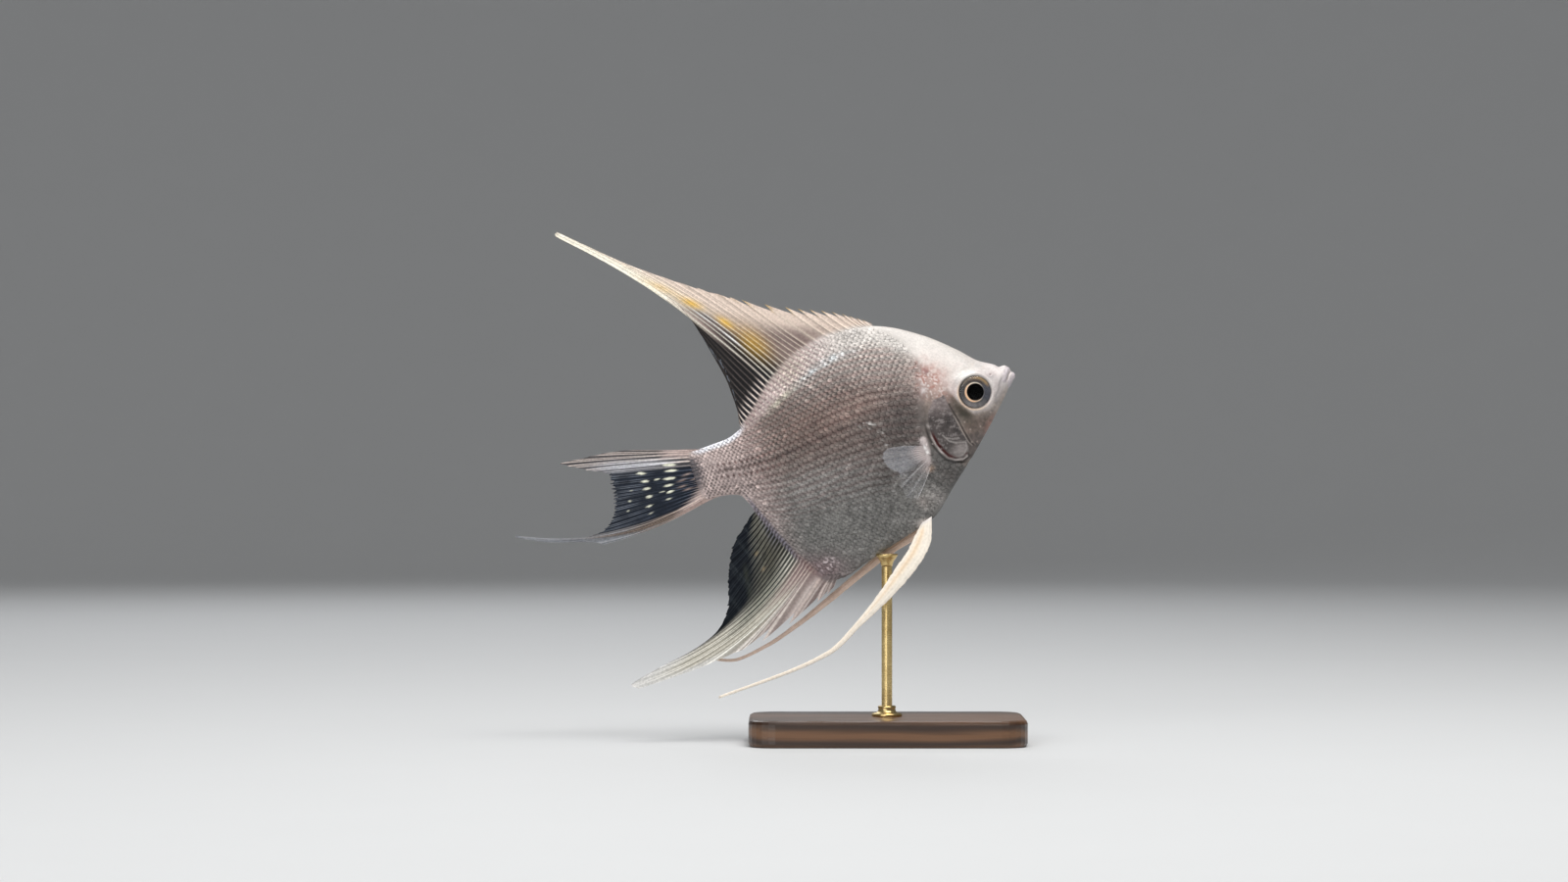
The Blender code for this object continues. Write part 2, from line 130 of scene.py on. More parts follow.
def ripple(at: Array, seed: int, waves: int = 6, slowest: float = 0.3) -> Array:
    """A smooth uneven line between about -1 and 1: a sum of sines of rising pitch.

    Args:
        at: Places along the line.
        seed: Picks the phases.
        waves: How many sines are added.
        slowest: Turns per unit of the slowest sine.

    Returns:
        The line's value at each place.
    """
    phase = np.random.default_rng(seed).uniform(0, 2 * math.pi, waves)
    total = sum(np.sin(2 * math.pi * slowest * 1.7**k * at + phase[k]) / 1.25**k
                for k in range(waves))
    return total / sum(1 / 1.25**k for k in range(waves))


def cloud(station: Array, height: Array, size: float, seed: int) -> Array:
    """Smooth uneven patches between -1 and 1: random values on a lattice, eased between.

    Args:
        station: Stations of the points.
        height: Heights of the points.
        size: Breadth of a patch.
        seed: Picks the lattice.

    Returns:
        The patches' value at each point.
    """
    table = np.random.default_rng(seed).uniform(-1, 1, (64, 64))
    x, y = np.asarray(station) / size + 200.3, np.asarray(height) / size + 200.7
    i, j = np.floor(x).astype(int), np.floor(y).astype(int)
    u, v = smooth(0, 1, x - i), smooth(0, 1, y - j)
    near = table[i % 64, j % 64] * (1 - u) + table[(i + 1) % 64, j % 64] * u
    far = table[i % 64, (j + 1) % 64] * (1 - u) + table[(i + 1) % 64, (j + 1) % 64] * u
    return near * (1 - v) + far * v


@dataclass(frozen=True)
class Line:
    """A smooth curve of value against place that passes its points without overshoot."""

    points: tuple[tuple[float, float], ...]

    def at(self, where: Array) -> Array:
        """Cubic pieces whose slope at each point is the harmonic mean of its neighbours'.

        Args:
            where: Places to read the curve at; past the ends it stays level.

        Returns:
            The curve's values.
        """
        place, value = np.array(self.points, float).T
        slope = np.diff(value) / np.diff(place)
        knot = np.zeros(len(place))
        same = slope[:-1] * slope[1:] > 0
        both = np.where(same, slope[:-1] + slope[1:], 1)
        knot[1:-1] = np.where(same, 2 * slope[:-1] * slope[1:] / both, 0)
        knot[0], knot[-1] = slope[0], slope[-1]
        where = np.clip(np.asarray(where, float), place[0], place[-1])
        i = np.clip(np.searchsorted(place, where) - 1, 0, len(place) - 2)
        width = place[i + 1] - place[i]
        t = (where - place[i]) / width
        return ((2 * t**3 - 3 * t**2 + 1) * value[i] + (t**3 - 2 * t**2 + t) * width * knot[i]
                + (3 * t**2 - 2 * t**3) * value[i + 1] + (t**3 - t**2) * width * knot[i + 1])

    def slope(self, where: Array) -> Array:
        """Rise per unit of place."""
        step = 0.05
        return (self.at(where + step) - self.at(where - step)) / (2 * step)


@dataclass(frozen=True)
class Fan:
    """Key rows, read smoothly between, with corners where named rows make a point."""

    rows: tuple[tuple[float, ...], ...]
    corners: tuple[int, ...] = ()

    def at(self, where: Array) -> Array:
        """Each column is a smooth curve between corners.

        Args:
            where: Places counted in key rows.

        Returns:
            One row of values for each place.
        """
        rows = np.array(self.rows, float)
        ends = sorted({0, len(rows) - 1, *self.corners})
        out = np.zeros((len(where), rows.shape[1]))
        for first, last in zip(ends, ends[1:]):
            part = (where >= first - 1e-9) & (where <= last + 1e-9)
            key = range(first, last + 1)
            for c in range(rows.shape[1]):
                curve = Line(tuple(zip(key, rows[first:last + 1, c])))
                out[part, c] = curve.at(where[part])
        return out


@dataclass(frozen=True)
class Trace:
    """A line of straight runs on the flank, in station and height."""

    points: tuple[tuple[float, float], ...]
    closed: bool = False

    def ends(self) -> tuple[Array, Array]:
        """First and last point of each run."""
        at = np.array(self.points, float)
        return (at, np.roll(at, -1, 0)) if self.closed else (at[:-1], at[1:])

    def distance(self, station: Array, height: Array) -> Array:
        """Distance to the nearest point of any run.

        Args:
            station: Stations of the points.
            height: Heights of the points.

        Returns:
            Millimetres to the line.
        """
        best = np.full(np.shape(station), 1e9)
        for (s0, h0), (s1, h1) in zip(*self.ends()):
            ds, dh = s1 - s0, h1 - h0
            t = np.clip(((station - s0) * ds + (height - h0) * dh) / (ds * ds + dh * dh), 0, 1)
            best = np.minimum(best, np.hypot(station - s0 - t * ds, height - h0 - t * dh))
        return best

    def band(self, station: Array, height: Array, width: float) -> Array:
        """A soft band: 1 on the line, falling to about a third one width away."""
        return hump(self.distance(station, height), 0, width)

    def inside(self, station: Array, height: Array) -> Array:
        """Whether points lie in a closed trace: an odd number of runs pass above them.

        Args:
            station: Stations of the points.
            height: Heights of the points.

        Returns:
            True for each point inside.
        """
        odd = np.zeros(np.shape(station), bool)
        for (s0, h0), (s1, h1) in zip(*self.ends()):
            over = (s0 > station) != (s1 > station)
            odd ^= over & (height < h0 + (station - s0) / (s1 - s0 + 1e-12) * (h1 - h0))
        return odd


# ---------------- the fish's own form


class Flank(Enum):
    """The fish's two sides."""

    RIGHT = -1
    LEFT = 1

    @property
    def word(self) -> str:
        """The side's name, as pieces and nodes spell it."""
        return self.name.lower()


@dataclass(frozen=True)
class Pose:
    """Where the fish hangs over the stand."""

    nose_x: float = 28.4
    nose_z: float = 82.5
    pitch: float = math.radians(18.94)

    def place(self, points: Array) -> Array:
        """Fish measures to the row frame: turned nose up, then lifted, in metres.

        Args:
            points: Points in fish measures.

        Returns:
            Points in the row frame.
        """
        x, y, z = np.moveaxis(points, -1, 0)
        c, s = math.cos(self.pitch), math.sin(self.pitch)
        return np.stack((self.nose_x + x * c - z * s, y, self.nose_z + x * s + z * c), -1) * MM


@dataclass(frozen=True)
class BodyForm:
    """The bare form of head, trunk and tail stem: rings pinched to thin edges."""

    top: Line = Line((
        (-0.2, 0.5), (0.4, 1.7), (1.2, 2.7), (2.4, 3), (3.4, 3.8), (6.5, 5.8), (10.1, 9.6),
        (16.4, 15.2), (24.3, 20), (30, 21.8), (36, 22.2), (44, 20.8), (52, 16.5), (59, 10.7),
        (62.2, 8.6), (66, 7.5), (72, 7.4), (75.2, 7.9)))
    belly: Line = Line((
        (-0.2, -0.5), (0.4, -0.9), (4.2, -4.7), (10, -10.2), (20, -18.8), (28, -24.9), (33, -26.1),
        (44, -28.9), (51, -30.6), (54, -30.3), (57, -27.4), (59.6, -22.9), (62.2, -16.6),
        (64.9, -9.7), (66.4, -6), (69, -4.8), (72, -4.4), (75.2, -4.8)))
    wide: Line = Line((
        (-0.2, 0.6), (1.2, 1.9), (3.2, 2.8), (6.5, 4.2), (10, 5.2), (16, 6), (23, 6.2), (33, 5.7),
        (46, 4.4), (56, 3.1), (64, 2.3), (69.5, 1.9), (72, 1.25), (75.2, 0.3)))
    pinch: Line = Line(((0, 0), (14, 0.55), (60, 0.55), (70, 0.15), (72, 0)))
    belt_rise: float = 0.05
    front: float = -0.2
    rear: float = 75.2

    def belt(self, station: Array) -> Array:
        """Height of the widest level."""
        top, belly = self.top.at(station), self.belly.at(station)
        return (top + belly) / 2 + self.belt_rise * (top - belly)

    def point(self, station: Array, angle: Array) -> Array:
        """Points of the form.

        Each ring's height is belt + reach times sin(angle), and its side is the half width times
        cos(angle) times 1 less the pinch times sin squared. Angle 0 is the left flank's middle.

        Args:
            station: Stations of the rings.
            angle: Angles round the rings.

        Returns:
            Points in fish measures.
        """
        top, belly, belt = self.top.at(station), self.belly.at(station), self.belt(station)
        lift = np.sin(angle)
        height = belt + np.where(lift > 0, top - belt, belt - belly) * lift
        side = self.wide.at(station) * np.cos(angle) * (1 - self.pinch.at(station) * lift**2)
        return np.stack(np.broadcast_arrays(-station, side, height), -1)

    def normal(self, station: Array, angle: Array) -> Array:
        """Outward unit normals, from the cross product of small steps both ways.

        Args:
            station: Stations of the rings.
            angle: Angles round the rings.

        Returns:
            One unit vector for each point.
        """
        step = 0.02
        around = self.point(station, angle + step / 5) - self.point(station, angle - step / 5)
        back = self.point(station + step, angle) - self.point(station - step, angle)
        out = np.cross(back, around)
        return out / np.maximum(np.linalg.norm(out, axis=-1, keepdims=True), 1e-12)

    def speed(self, station: Array, angle: Array) -> Array:
        """Millimetres of surface per radian round a ring.

        Args:
            station: Stations of the points.
            angle: Their ring angles.

        Returns:
            One number for each point.
        """
        step = 0.004
        run = self.point(station, angle + step) - self.point(station, angle - step)
        return np.linalg.norm(run, axis=-1) / (2 * step)

    def angle(self, station: Array, height: Array, flank: Flank) -> Array:
        """Ring angle of a height on one flank.

        Args:
            station: Stations of the points.
            height: Heights of the points.
            flank: The side that they are on.

        Returns:
            Angles in radians.
        """
        top, belly, belt = self.top.at(station), self.belly.at(station), self.belt(station)
        reach = np.where(height > belt, top - belt, belt - belly)
        rise = np.arcsin(np.clip((height - belt) / reach, -1, 1))
        return rise if flank is Flank.LEFT else math.pi - rise

    def arc(self, station: Array, angle: Array, steps: int = 12) -> Array:
        """Surface distance from the flank's middle up or down a ring.

        Args:
            station: Stations of the points.
            angle: Their ring angles.
            steps: Parts that the sum is taken in.

        Returns:
            Millimetres, positive upward.
        """
        middle = np.where(np.cos(angle) >= 0, 0, math.pi)
        turn = angle - middle
        parts = [self.speed(station, middle + turn * (k + 0.5) / steps) for k in range(steps)]
        return sum(parts) * turn / steps * np.where(middle == 0, 1, -1)

    def half_width(self, station: Array, height: Array) -> Array:
        """Half thickness at a station and height."""
        return self.point(station, self.angle(station, height, Flank.LEFT))[..., 1]


@dataclass(frozen=True)
class ScaleRows:
    """Lines of the scale rows: a middle row, and offsets that close up towards the tail."""

    middle: Line = Line((
        (14, -2.6), (20, -1.6), (24, -0.8), (28, 0.2), (33, 0.9), (38, 1.1), (43, 0.85), (48, 0.6),
        (53, 0), (58, -0.2), (63, 0), (68, 0.9), (74, 1.6)))
    spread_up: Line = Line(((14, 1), (38, 1), (48, 0.9), (58, 0.78), (74, 0.62)))
    spread_down: Line = Line(((14, 1.08), (33, 1.05), (40, 1), (50, 0.93), (60, 0.82), (74, 0.6)))
    wide_rows: int = 2  # either side of the middle row
    mid_rows: int = 5
    wide: float = 2.05
    mid: float = 1.7
    fine: float = 1.45
    count: int = 22

    def offset(self, row: Array) -> Array:
        """Millimetres from the middle row before spreading: wide rows first, then finer.

        Args:
            row: Row numbers, negative below the middle row.

        Returns:
            Millimetres, negative below it.
        """
        n = np.abs(row)
        out = (self.wide * np.minimum(n, self.wide_rows)
               + self.mid * np.clip(n - self.wide_rows, 0, self.mid_rows)
               + self.fine * np.maximum(n - self.wide_rows - self.mid_rows, 0))
        return out * np.sign(row)

    def spread(self, row: Array, station: Array) -> Array:
        """How far apart rows stand there, against the middle of the flank."""
        return np.where(np.asarray(row) > 0, self.spread_up.at(station),
                        self.spread_down.at(station))

    def height(self, row: Array, station: Array) -> Array:
        """Height of a row at a station."""
        return self.middle.at(station) + self.offset(row) * self.spread(row, station)

    def row(self, station: Array, height: Array) -> Array:
        """Row number at a place, whole numbers lying on the dark lines between scales.

        Args:
            station: Stations of the points.
            height: Heights of the points.

        Returns:
            One row number for each point.
        """
        rise = height - self.middle.at(station)
        table = np.arange(-self.count, self.count + 1)
        return np.interp(rise / self.spread(rise, station), self.offset(table), table)


FORM = BodyForm()
POSE = Pose()
ROWS = ScaleRows()


@dataclass(frozen=True)
class HeadPlan:
    """Places of the head's features, in station and height."""

    eye: tuple[float, float] = (9.5, -0.68)
    eye_level: float = 4.85  # side of the eye's rim at its middle
    eye_back: float = 0.23  # how the eye's plane widens towards the tail
    eye_up: float = 0.09  # and upward
    iris: float = 3.62
    orbit: float = 4
    slit: Trace = Trace(((-0.6, 1.4), (0.45, 0.98), (1.1, 0.35), (1.8, -0.55)))
    upper_lip: Trace = Trace(((0.5, 2), (1.2, 1.5), (1.9, 0.65), (2.4, -0.2)))
    lower_lip: Trace = Trace(((-0.35, 0.35), (0.3, -0.3), (1, -1), (1.5, -1.6)))
    crease: Trace = Trace((
        (1.9, 1.6), (2.3, 0.6), (3.1, -0.2), (3.7, -0.9), (4.2, -2), (5.1, -3), (5.6, -4.2)))
    nostril: tuple[float, float] = (5, 1.9)
    pre_line: Trace = Trace((
        (16, -1.4), (15.6, -3.4), (15.1, -5.6), (14.6, -8.5), (14.1, -10.8), (13.5, -11.8)))
    cover: Trace = Trace((
        (16.4, 0.9), (19.2, 0.6), (20.9, -1.2), (21.7, -3.2), (22.1, -5.2), (22.1, -6.8),
        (21.8, -8.9), (21.1, -10.8), (20.1, -12.6), (18.6, -13.7), (16.9, -14.2), (15.7, -13.7),
        (14.9, -12.4), (14.7, -10.6), (15.4, -7.5), (15.9, -4)), closed=True)
    free_edge: tuple[int, int] = (1, 12)  # which of the cover's points are its free edge
    streaks: tuple[Trace, ...] = (
        Trace(((19.6, -7.4), (18.6, -9.2), (17.4, -9.9), (15.1, -10.6))),
        Trace(((18.9, -12.6), (17.6, -13.1), (16.3, -12.9), (15.3, -11.9), (15.1, -10.8))),
        Trace(((18.9, -8.3), (17.6, -9), (16.2, -9.3))))
    shoulder: Trace = Trace(((24.1, -7.2), (24.2, -9.4), (24.6, -11.8)))
    pores: tuple[tuple[float, float], ...] = (
        (12.5, -11.4), (13.7, -11.1), (13.2, -8.3), (13.9, -6.3), (10.8, -8.4), (7.6, -6.1),
        (6.2, -5), (5.9, 3.9), (8, 5.3))

    def eye_distance(self, station: Array, height: Array) -> Array:
        """Distance from the middle of the eye."""
        return np.hypot(station - self.eye[0], height - self.eye[1])

    def eye_plane(self, station: Array, height: Array) -> Array:
        """Side of the flat that the eye's rim lies on."""
        return (self.eye_level + self.eye_back * (station - self.eye[0])
                + self.eye_up * (height - self.eye[1]))

    def cover_depth(self, station: Array, height: Array) -> Array:
        """Distance in from the gill cover's free edge, negative behind it."""
        away = Trace(self.cover.points[slice(*self.free_edge)]).distance(station, height)
        return np.where(self.cover.inside(station, height), away, -away)


HEAD = HeadPlan()


# ---------------- markings


@dataclass(frozen=True)
class Markings:
    """The colours of skin and scales alike, as zones that blend along named lines."""

    pale_edge: Line = Line((
        (-1, -1.6), (2, -1.9), (5, -3), (8, -5.1), (11, -4.9), (13.2, -2), (15.5, 2.6), (18, 7.6),
        (20.3, 11.2), (24, 14.6), (29, 16.9), (35.3, 17.6), (41, 16.6), (46, 14.6), (53, 11.6),
        (58, 9), (63, 7.6), (70, 6.6), (75, 6.4)))
    pale_soft: Line = Line((
        (0, 2.6), (9, 1.1), (12, 1), (15, 1.5), (20, 2), (30, 1.7), (44, 1.1), (60, 1.2),
        (75, 1.4)))
    cream: Rgb = (0.575, 0.538, 0.508)
    snout: Rgb = (0.68, 0.625, 0.61)
    sheath: Rgb = (0.68, 0.585, 0.555)
    silver: Rgb = (0.82, 0.83, 0.9)
    flank: Rgb = (0.18, 0.15, 0.136)
    rosy: Rgb = (0.25, 0.186, 0.162)
    belly: Rgb = (0.178, 0.174, 0.166)
    dusk: Rgb = (0.094, 0.084, 0.08)
    stem: Rgb = (0.53, 0.425, 0.405)
    plum: Rgb = (0.2, 0.14, 0.146)

    def body(self, station: Array, height: Array) -> Array:
        """Colours of trunk, nape and tail stem.

        Args:
            station: Stations of the points.
            height: Heights of the points.

        Returns:
            Red, green and blue for each point.
        """
        s, h = np.broadcast_arrays(station, height)
        row = ROWS.row(s, h)
        wide, fine = cloud(s, h, 5, 1), cloud(s, h, 0.9, 2)
        out = flat(self.flank, s)
        out = mix(out, self.rosy, spot(s, h, (39, 4.5), 13, 4.2, -6) * 0.9)
        out = mix(out, self.belly, smooth(-3, -14, h))
        out = dabs(out, s, h, (self.dusk, 0.8, (27, -2), 6.5, 7.5),
                   (self.dusk, 0.5, (34, -12), 5, 3.6, 20),
                   (self.dusk, 0.85, (20.5, -16.5), 4.5, 3.4, 45),
                   ((0.25, 0.24, 0.225), 0.6, (28, -19.5), 5, 2.2, 45),
                   ((0.265, 0.26, 0.25), 0.75, (50, -8.5), 11, 4),
                   ((0.36, 0.335, 0.32), 0.75, (25.2, -20.2), 2.6, 1.8, 45),
                   ((0.34, 0.3, 0.28), 0.7, (28.4, -20.4), 1.8, 1.3, 60))
        edge, soft = self.pale_edge.at(s), self.pale_soft.at(s)
        near = smooth(-1.25, -0.1, (h - edge) / np.interp(s, (30, 40), (10.5, 6.5)))
        near = near * smooth(18, 24, s) * (1 - smooth(43, 54, s))
        out = mix(out, (0.345, 0.312, 0.29), near * 0.95)
        dim = 0.26 * spot(s, h, (49.5, 8), 10, 8.5, -20) + 0.12 * spot(s, h, (39, -2), 7, 4)
        out = out * (1 - dim - 0.08 * spot(s, h, (31, -3), 6, 6)
                     + 0.2 * spot(s, h, (30, 4.5), 4, 2.5))[..., None]
        out = mix(out, self.stem, smooth(55, 68, s) * 0.9)
        out = out * (1 - 0.16 * spot(s, h, (63.5, 4.8), 4, 1.8, -8)
                     - 0.14 * spot(s, h, (65.5, -3), 4.5, 1.6, 8)
                     - 0.14 * spot(s, h, (50.5, -0.6), 4.5, 2.2, -10))[..., None]
        out = mix(out, out * (0.94, 0.87, 0.84), spot(s, h, (50, 5.5), 8, 8))
        # Darker lines between the rows, and the stripe along the middle of the flank
        wavy = row + 0.14 * cloud(s, h, 3.2, 4) + 0.09 * cloud(s, h, 1, 6)
        line = 0.5 + 0.5 * np.cos(2 * math.pi * wavy)
        zone = smooth(21, 26, s) * (1 - smooth(58, 66, s)) * (1 - smooth(-11, -18, h))
        strength = zone * (1 - smooth(-11.5, -6.5, h - edge) * 0.9) * (0.4 + 0.24 * wide)
        out = out * (1 + 0.12 * zone - strength * line**1.3)[..., None]
        out = mix(out, out * (1.06, 0.93, 0.93), line * zone)
        dashes = 0.5 + 0.5 * np.sin(2 * math.pi * s / 1.3)
        thick = np.interp(s, (33, 46, 60), (0.18, 0.3, 0.34))
        stripe = hump(row - 0.1 * dashes, 0, thick) * smooth(31, 42, s)
        stripe = stripe * (1 - smooth(68, 73, s))
        out = mix(out, (0.08, 0.05, 0.045), stripe * (0.48 + 0.4 * dashes))
        dots = hump(np.abs(row) - 1, 0, 0.3) * smooth(52, 60, s) * (1 - smooth(68, 73, s))
        out = mix(out, (0.11, 0.06, 0.055), dots * smooth(0.3, 0.9, dashes) * 0.9)
        finer = cloud(s, h, 0.42, 3)
        net = smooth(-12, -7, h - edge)
        out = out * (1 + 0.12 * wide + (0.17 - 0.07 * net) * fine
                     + (0.2 - 0.1 * net) * finer)[..., None]
        for at, along in (((34.9, 0.1), 2.2), ((32.4, -3.1), 1), ((31.8, -5.6), 0.8)):
            spark = smooth(0.25, 0.6, cloud(s, h, 0.4, 35)) * spot(s, h, at, along, 0.9, 12)
            out = mix(out, (0.62, 0.6, 0.58), spark * 0.85)
        swirl = BREAST_SWIRL.band(s, h, 0.55) * np.clip(0.6 + 0.6 * fine, 0, 1)
        out = mix(out, (0.34, 0.33, 0.315), swirl * 0.55)
        # Purple brown over the anal fin's root, then ticks where its rays start
        out = mix(out, self.plum, spot(s, h, (55, -27), 6.5, 3.2, 20) * 0.85)
        spark = smooth(0.15, 0.5, cloud(s, h, 0.45, 33)) * spot(s, h, (53.1, -26.6), 1.8, 1.3)
        out = mix(out, (0.8, 0.68, 0.7), spark * 0.9)
        low = FORM.belly.at(s)
        tick = 0.5 - 0.5 * np.cos(2 * math.pi * ANAL_FILES.at(self.ray_root(s, h, low=True)))
        short = smooth(3.6, 1.4, h - low) * smooth(55, 57.5, s) * (1 - smooth(64.5, 66, s))
        pinkish = smooth(60.5, 57.5, s)
        out = mix(out, mix((0.22, 0.21, 0.27), (0.5, 0.38, 0.34), pinkish),
                  short * (1 - tick) * 0.85)
        out = mix(out, mix((0.03, 0.028, 0.045), (0.17, 0.1, 0.1), pinkish), short * tick * 0.9)
        # Pale back, from the cream nape to the fin's root, which the rays mark with stripes
        pale = smooth(-1, 1, (h - edge + 0.5 * cloud(s, h, 1.6, 5)) / soft)
        back = mix(self.cream, self.sheath, smooth(30, 50, s))
        back = mix(back, (0.44, 0.36, 0.33), smooth(48, 60, s))
        back = mix(back, back * (0.84, 0.84, 0.76), spot(s, h, (47, 17.5), 5, 3, -35))
        reach = smooth(34, 42, s) * (1 - smooth(60, 62.5, s))
        gap = 0.5 - 0.5 * np.cos(2 * math.pi * DORSAL_FILES.at(self.ray_root(s, h)))
        back = mix(back, (0.25, 0.165, 0.175), gap * reach * 0.72)
        back = back * (1 + 0.08 * wide + 0.07 * fine)[..., None]
        out = mix(out, back, pale)
        glint = hump(h - edge, -0.6, 0.75) * smooth(30, 35, s) * (1 - smooth(52, 58, s))
        glint = glint * (0.35 + 0.65 * smooth(-0.35, 0.6, fine))
        out = mix(out, mix((0.74, 0.78, 0.8), (0.55, 0.51, 0.42), smooth(42, 50, s)),
                  glint * 0.85)
        out = mix(out, self.silver, smooth(1.7, 0.5, FORM.top.at(s) - h) * smooth(60, 63.5, s)
                  * (1 - smooth(71, 75, s)))
        # Reddish blotched shoulder and the bright spot above the gill opening
        out = self.shoulder(out, s, h)
        return self.tail_root(self.fin_roots(out, s, h), s, h)

    def shoulder(self, out: Array, s: Array, h: Array) -> Array:
        """Pink and rusty blotches between the nape and the gill cover, with pale flecks.

        Args:
            out: Colours so far.
            s: Stations of the points.
            h: Heights of the points.

        Returns:
            Colours with the shoulder laid on.
        """
        patch = spot(s, h, (18.2, 5.4), 4.8, 2.9, 66)
        out = mix(out, (0.55, 0.375, 0.34), spot(s, h, (17.4, 4.6), 4.8, 3.8, 60) * 0.7)
        out = mix(out, (0.36, 0.14, 0.105), patch * smooth(-0.15, 0.6, cloud(s, h, 0.8, 7)) * 0.72)
        out = mix(out, (0.2, 0.1, 0.105), spot(s, h, (18.4, 7.2), 0.7, 0.5, 60) * 0.7)
        fleck = smooth(0.15, 0.6, cloud(s, h, 0.36, 9)) * spot(s, h, (18.3, 4.2), 4.4, 2.6, 70)
        out = mix(out, (0.8, 0.74, 0.72), fleck * 0.75)
        return mix(out, (0.75, 0.7, 0.7), spot(s, h, (20.4, 3.4), 0.5, 0.6, 30) * 0.75)

    def ray_root(self, s: Array, h: Array, low: bool = False) -> Array:
        """Station where a ray through a point leaves the back, or the belly."""
        edge, lean = (FORM.belly, ANAL_LEAN) if low else (FORM.top, DORSAL_LEAN)
        return s + (edge.at(s) - h) / (np.tan(np.radians(lean.at(s))) - edge.slope(s))

    def tail_root(self, out: Array, s: Array, h: Array) -> Array:
        """Flesh colour that breaks up, ray by ray, into the tail fin's blue-black.

        Args:
            out: Colours so far.
            s: Stations of the points.
            h: Heights of the points.

        Returns:
            Colours with the tail's root laid on.
        """
        ragged = TAIL_EDGE.at(h) + 0.9 * ripple(h * 1.3, 17, 4, 0.7)
        dark = mix((0.03, 0.032, 0.045), (0.16, 0.13, 0.13),
                   smooth(-0.2, 0.8, ripple(h * 1.3, 19, 4, 0.9)))
        return mix(out, dark, smooth(-1.6, 1.5, s - ragged) * 0.95)

    def fin_roots(self, out: Array, s: Array, h: Array) -> Array:
        """Colours where the paired fins join the body.

        Args:
            out: Colours so far.
            s: Stations of the points.
            h: Heights of the points.

        Returns:
            Colours with the fins' roots laid on.
        """
        away = HEAD.shoulder.distance(s, h)
        out = mix(out, (0.6, 0.52, 0.51), smooth(1.25, 0.5, away) * 0.85)
        return dabs(out, s, h, ((0.95, 0.93, 0.91), 1, (24.2, -8.7), 0.34, 0.42),
                    ((0.95, 0.93, 0.91), 1, (24, -9.9), 0.34, 0.42),
                    ((0.52, 0.36, 0.26), 0.7, (24.6, -13.6), 0.9, 0.7),
                    ((0.85, 0.78, 0.74), 0.9, (29.6, -25), 1.6, 0.9, 20))

    def head(self, station: Array, height: Array) -> Array:
        """Colours of the head in front of the gill opening.

        Args:
            station: Stations of the points.
            height: Heights of the points.

        Returns:
            Red, green and blue for each point.
        """
        s, h = np.broadcast_arrays(station, height)
        away = HEAD.eye_distance(s, h)
        out = flat((0.3, 0.245, 0.21), s)
        out = mix(out, (0.21, 0.155, 0.13), smooth(-5, -7.5, h))
        out = mix(out, (0.115, 0.092, 0.084), smooth(-8, -10.5, h))
        out = mix(out, (0.34, 0.16, 0.12), spot(s, h, (8.7, -8.6), 2, 0.7, -44) * 0.6)
        out = mix(out, (0.15, 0.125, 0.11), smooth(14.2, 16, s) * smooth(2, -2, h))
        out = dabs(out, s, h, ((0.042, 0.036, 0.024), 0.95, (13.8, -3.9), 4.6, 1.35, 72),
                   ((0.085, 0.062, 0.042), 0.5, (11.9, -5.9), 1.4, 0.6, 30))
        out = out * (1 + 0.22 * cloud(s, h, 2.2, 12) + 0.18 * cloud(s, h, 1, 42)
                     + 0.3 * cloud(s, h, 0.5, 13))[..., None]
        back, up = s - HEAD.eye[0], h - HEAD.eye[1]
        under = smooth(0.66, 0.9, (0.9 * back - 0.43 * up) / (away + 0.01))
        out = mix(out, (0.04, 0.034, 0.022), hump(away, 5.3, 0.6) * under * 0.9)
        edge, soft = self.pale_edge.at(s), self.pale_soft.at(s)
        pale = smooth(-1, 1, (h - edge) / soft)
        top = mix(self.snout, self.cream, smooth(3, 9, s) * smooth(0, 5, h))
        near = smooth(10, 5, away)
        top = mix(top, (0.53, 0.43, 0.42), smooth(-0.1, 0.8, cloud(s, h, 1.5, 36)) * near * 0.35)
        top = mix(top, (0.47, 0.46, 0.47), smooth(0.1, 0.9, cloud(s, h, 1.1, 37)) * near * 0.35)
        top = top * (1 + 0.05 * cloud(s, h, 0.6, 38))[..., None]
        out = mix(out, top, pale)
        out = mix(out, (0.5, 0.45, 0.44), spot(s, h, (4.6, -1.4), 1, 3, 20) * 0.75)
        out = self.shoulder(out, s, h)
        out = mix(out, (0.92, 0.9, 0.86), spot(s, h, (10.4, 3.6), 2.6, 0.85, 4) * 0.9)
        # Gill cover: dark, with a paler upper part and fine pale streaks
        depth = HEAD.cover_depth(s, h)
        cover = mix((0.062, 0.051, 0.049), (0.21, 0.172, 0.168), smooth(-4, 0.5, h))
        cover = cover * (1 + 0.35 * cloud(s, h, 1.1, 14) + 0.3 * cloud(s, h, 0.35, 15))[..., None]
        cover = mix(cover, (0.31, 0.275, 0.265), spot(s, h, (16.6, -11.9), 2.4, 1.3) * 0.9)
        scratch = smooth(0.15, 0.7, cloud(0.4 * s + 0.25 * h, 1.7 * h - 0.45 * s, 0.34, 16))
        cover = mix(cover, (0.34, 0.305, 0.295), scratch * 0.5)
        streak = sum(t.band(s, h, 0.15) for t in HEAD.streaks)
        cover = mix(cover, (0.46, 0.42, 0.4), np.clip(streak, 0, 1) * 0.6)
        out = mix(out, cover, smooth(-0.1, 0.35, depth))
        low = smooth(-2.5, -6, h)
        out = mix(out, (0.03, 0.024, 0.022), HEAD.pre_line.band(s, h, 0.17) * 0.8)
        out = mix(out, (0.42, 0.37, 0.34), HEAD.pre_line.band(s - 0.4, h, 0.12) * 0.65 * low)
        out = mix(out, (0.3, 0.26, 0.23), HEAD.pre_line.band(s + 0.36, h, 0.1) * 0.5 * low)
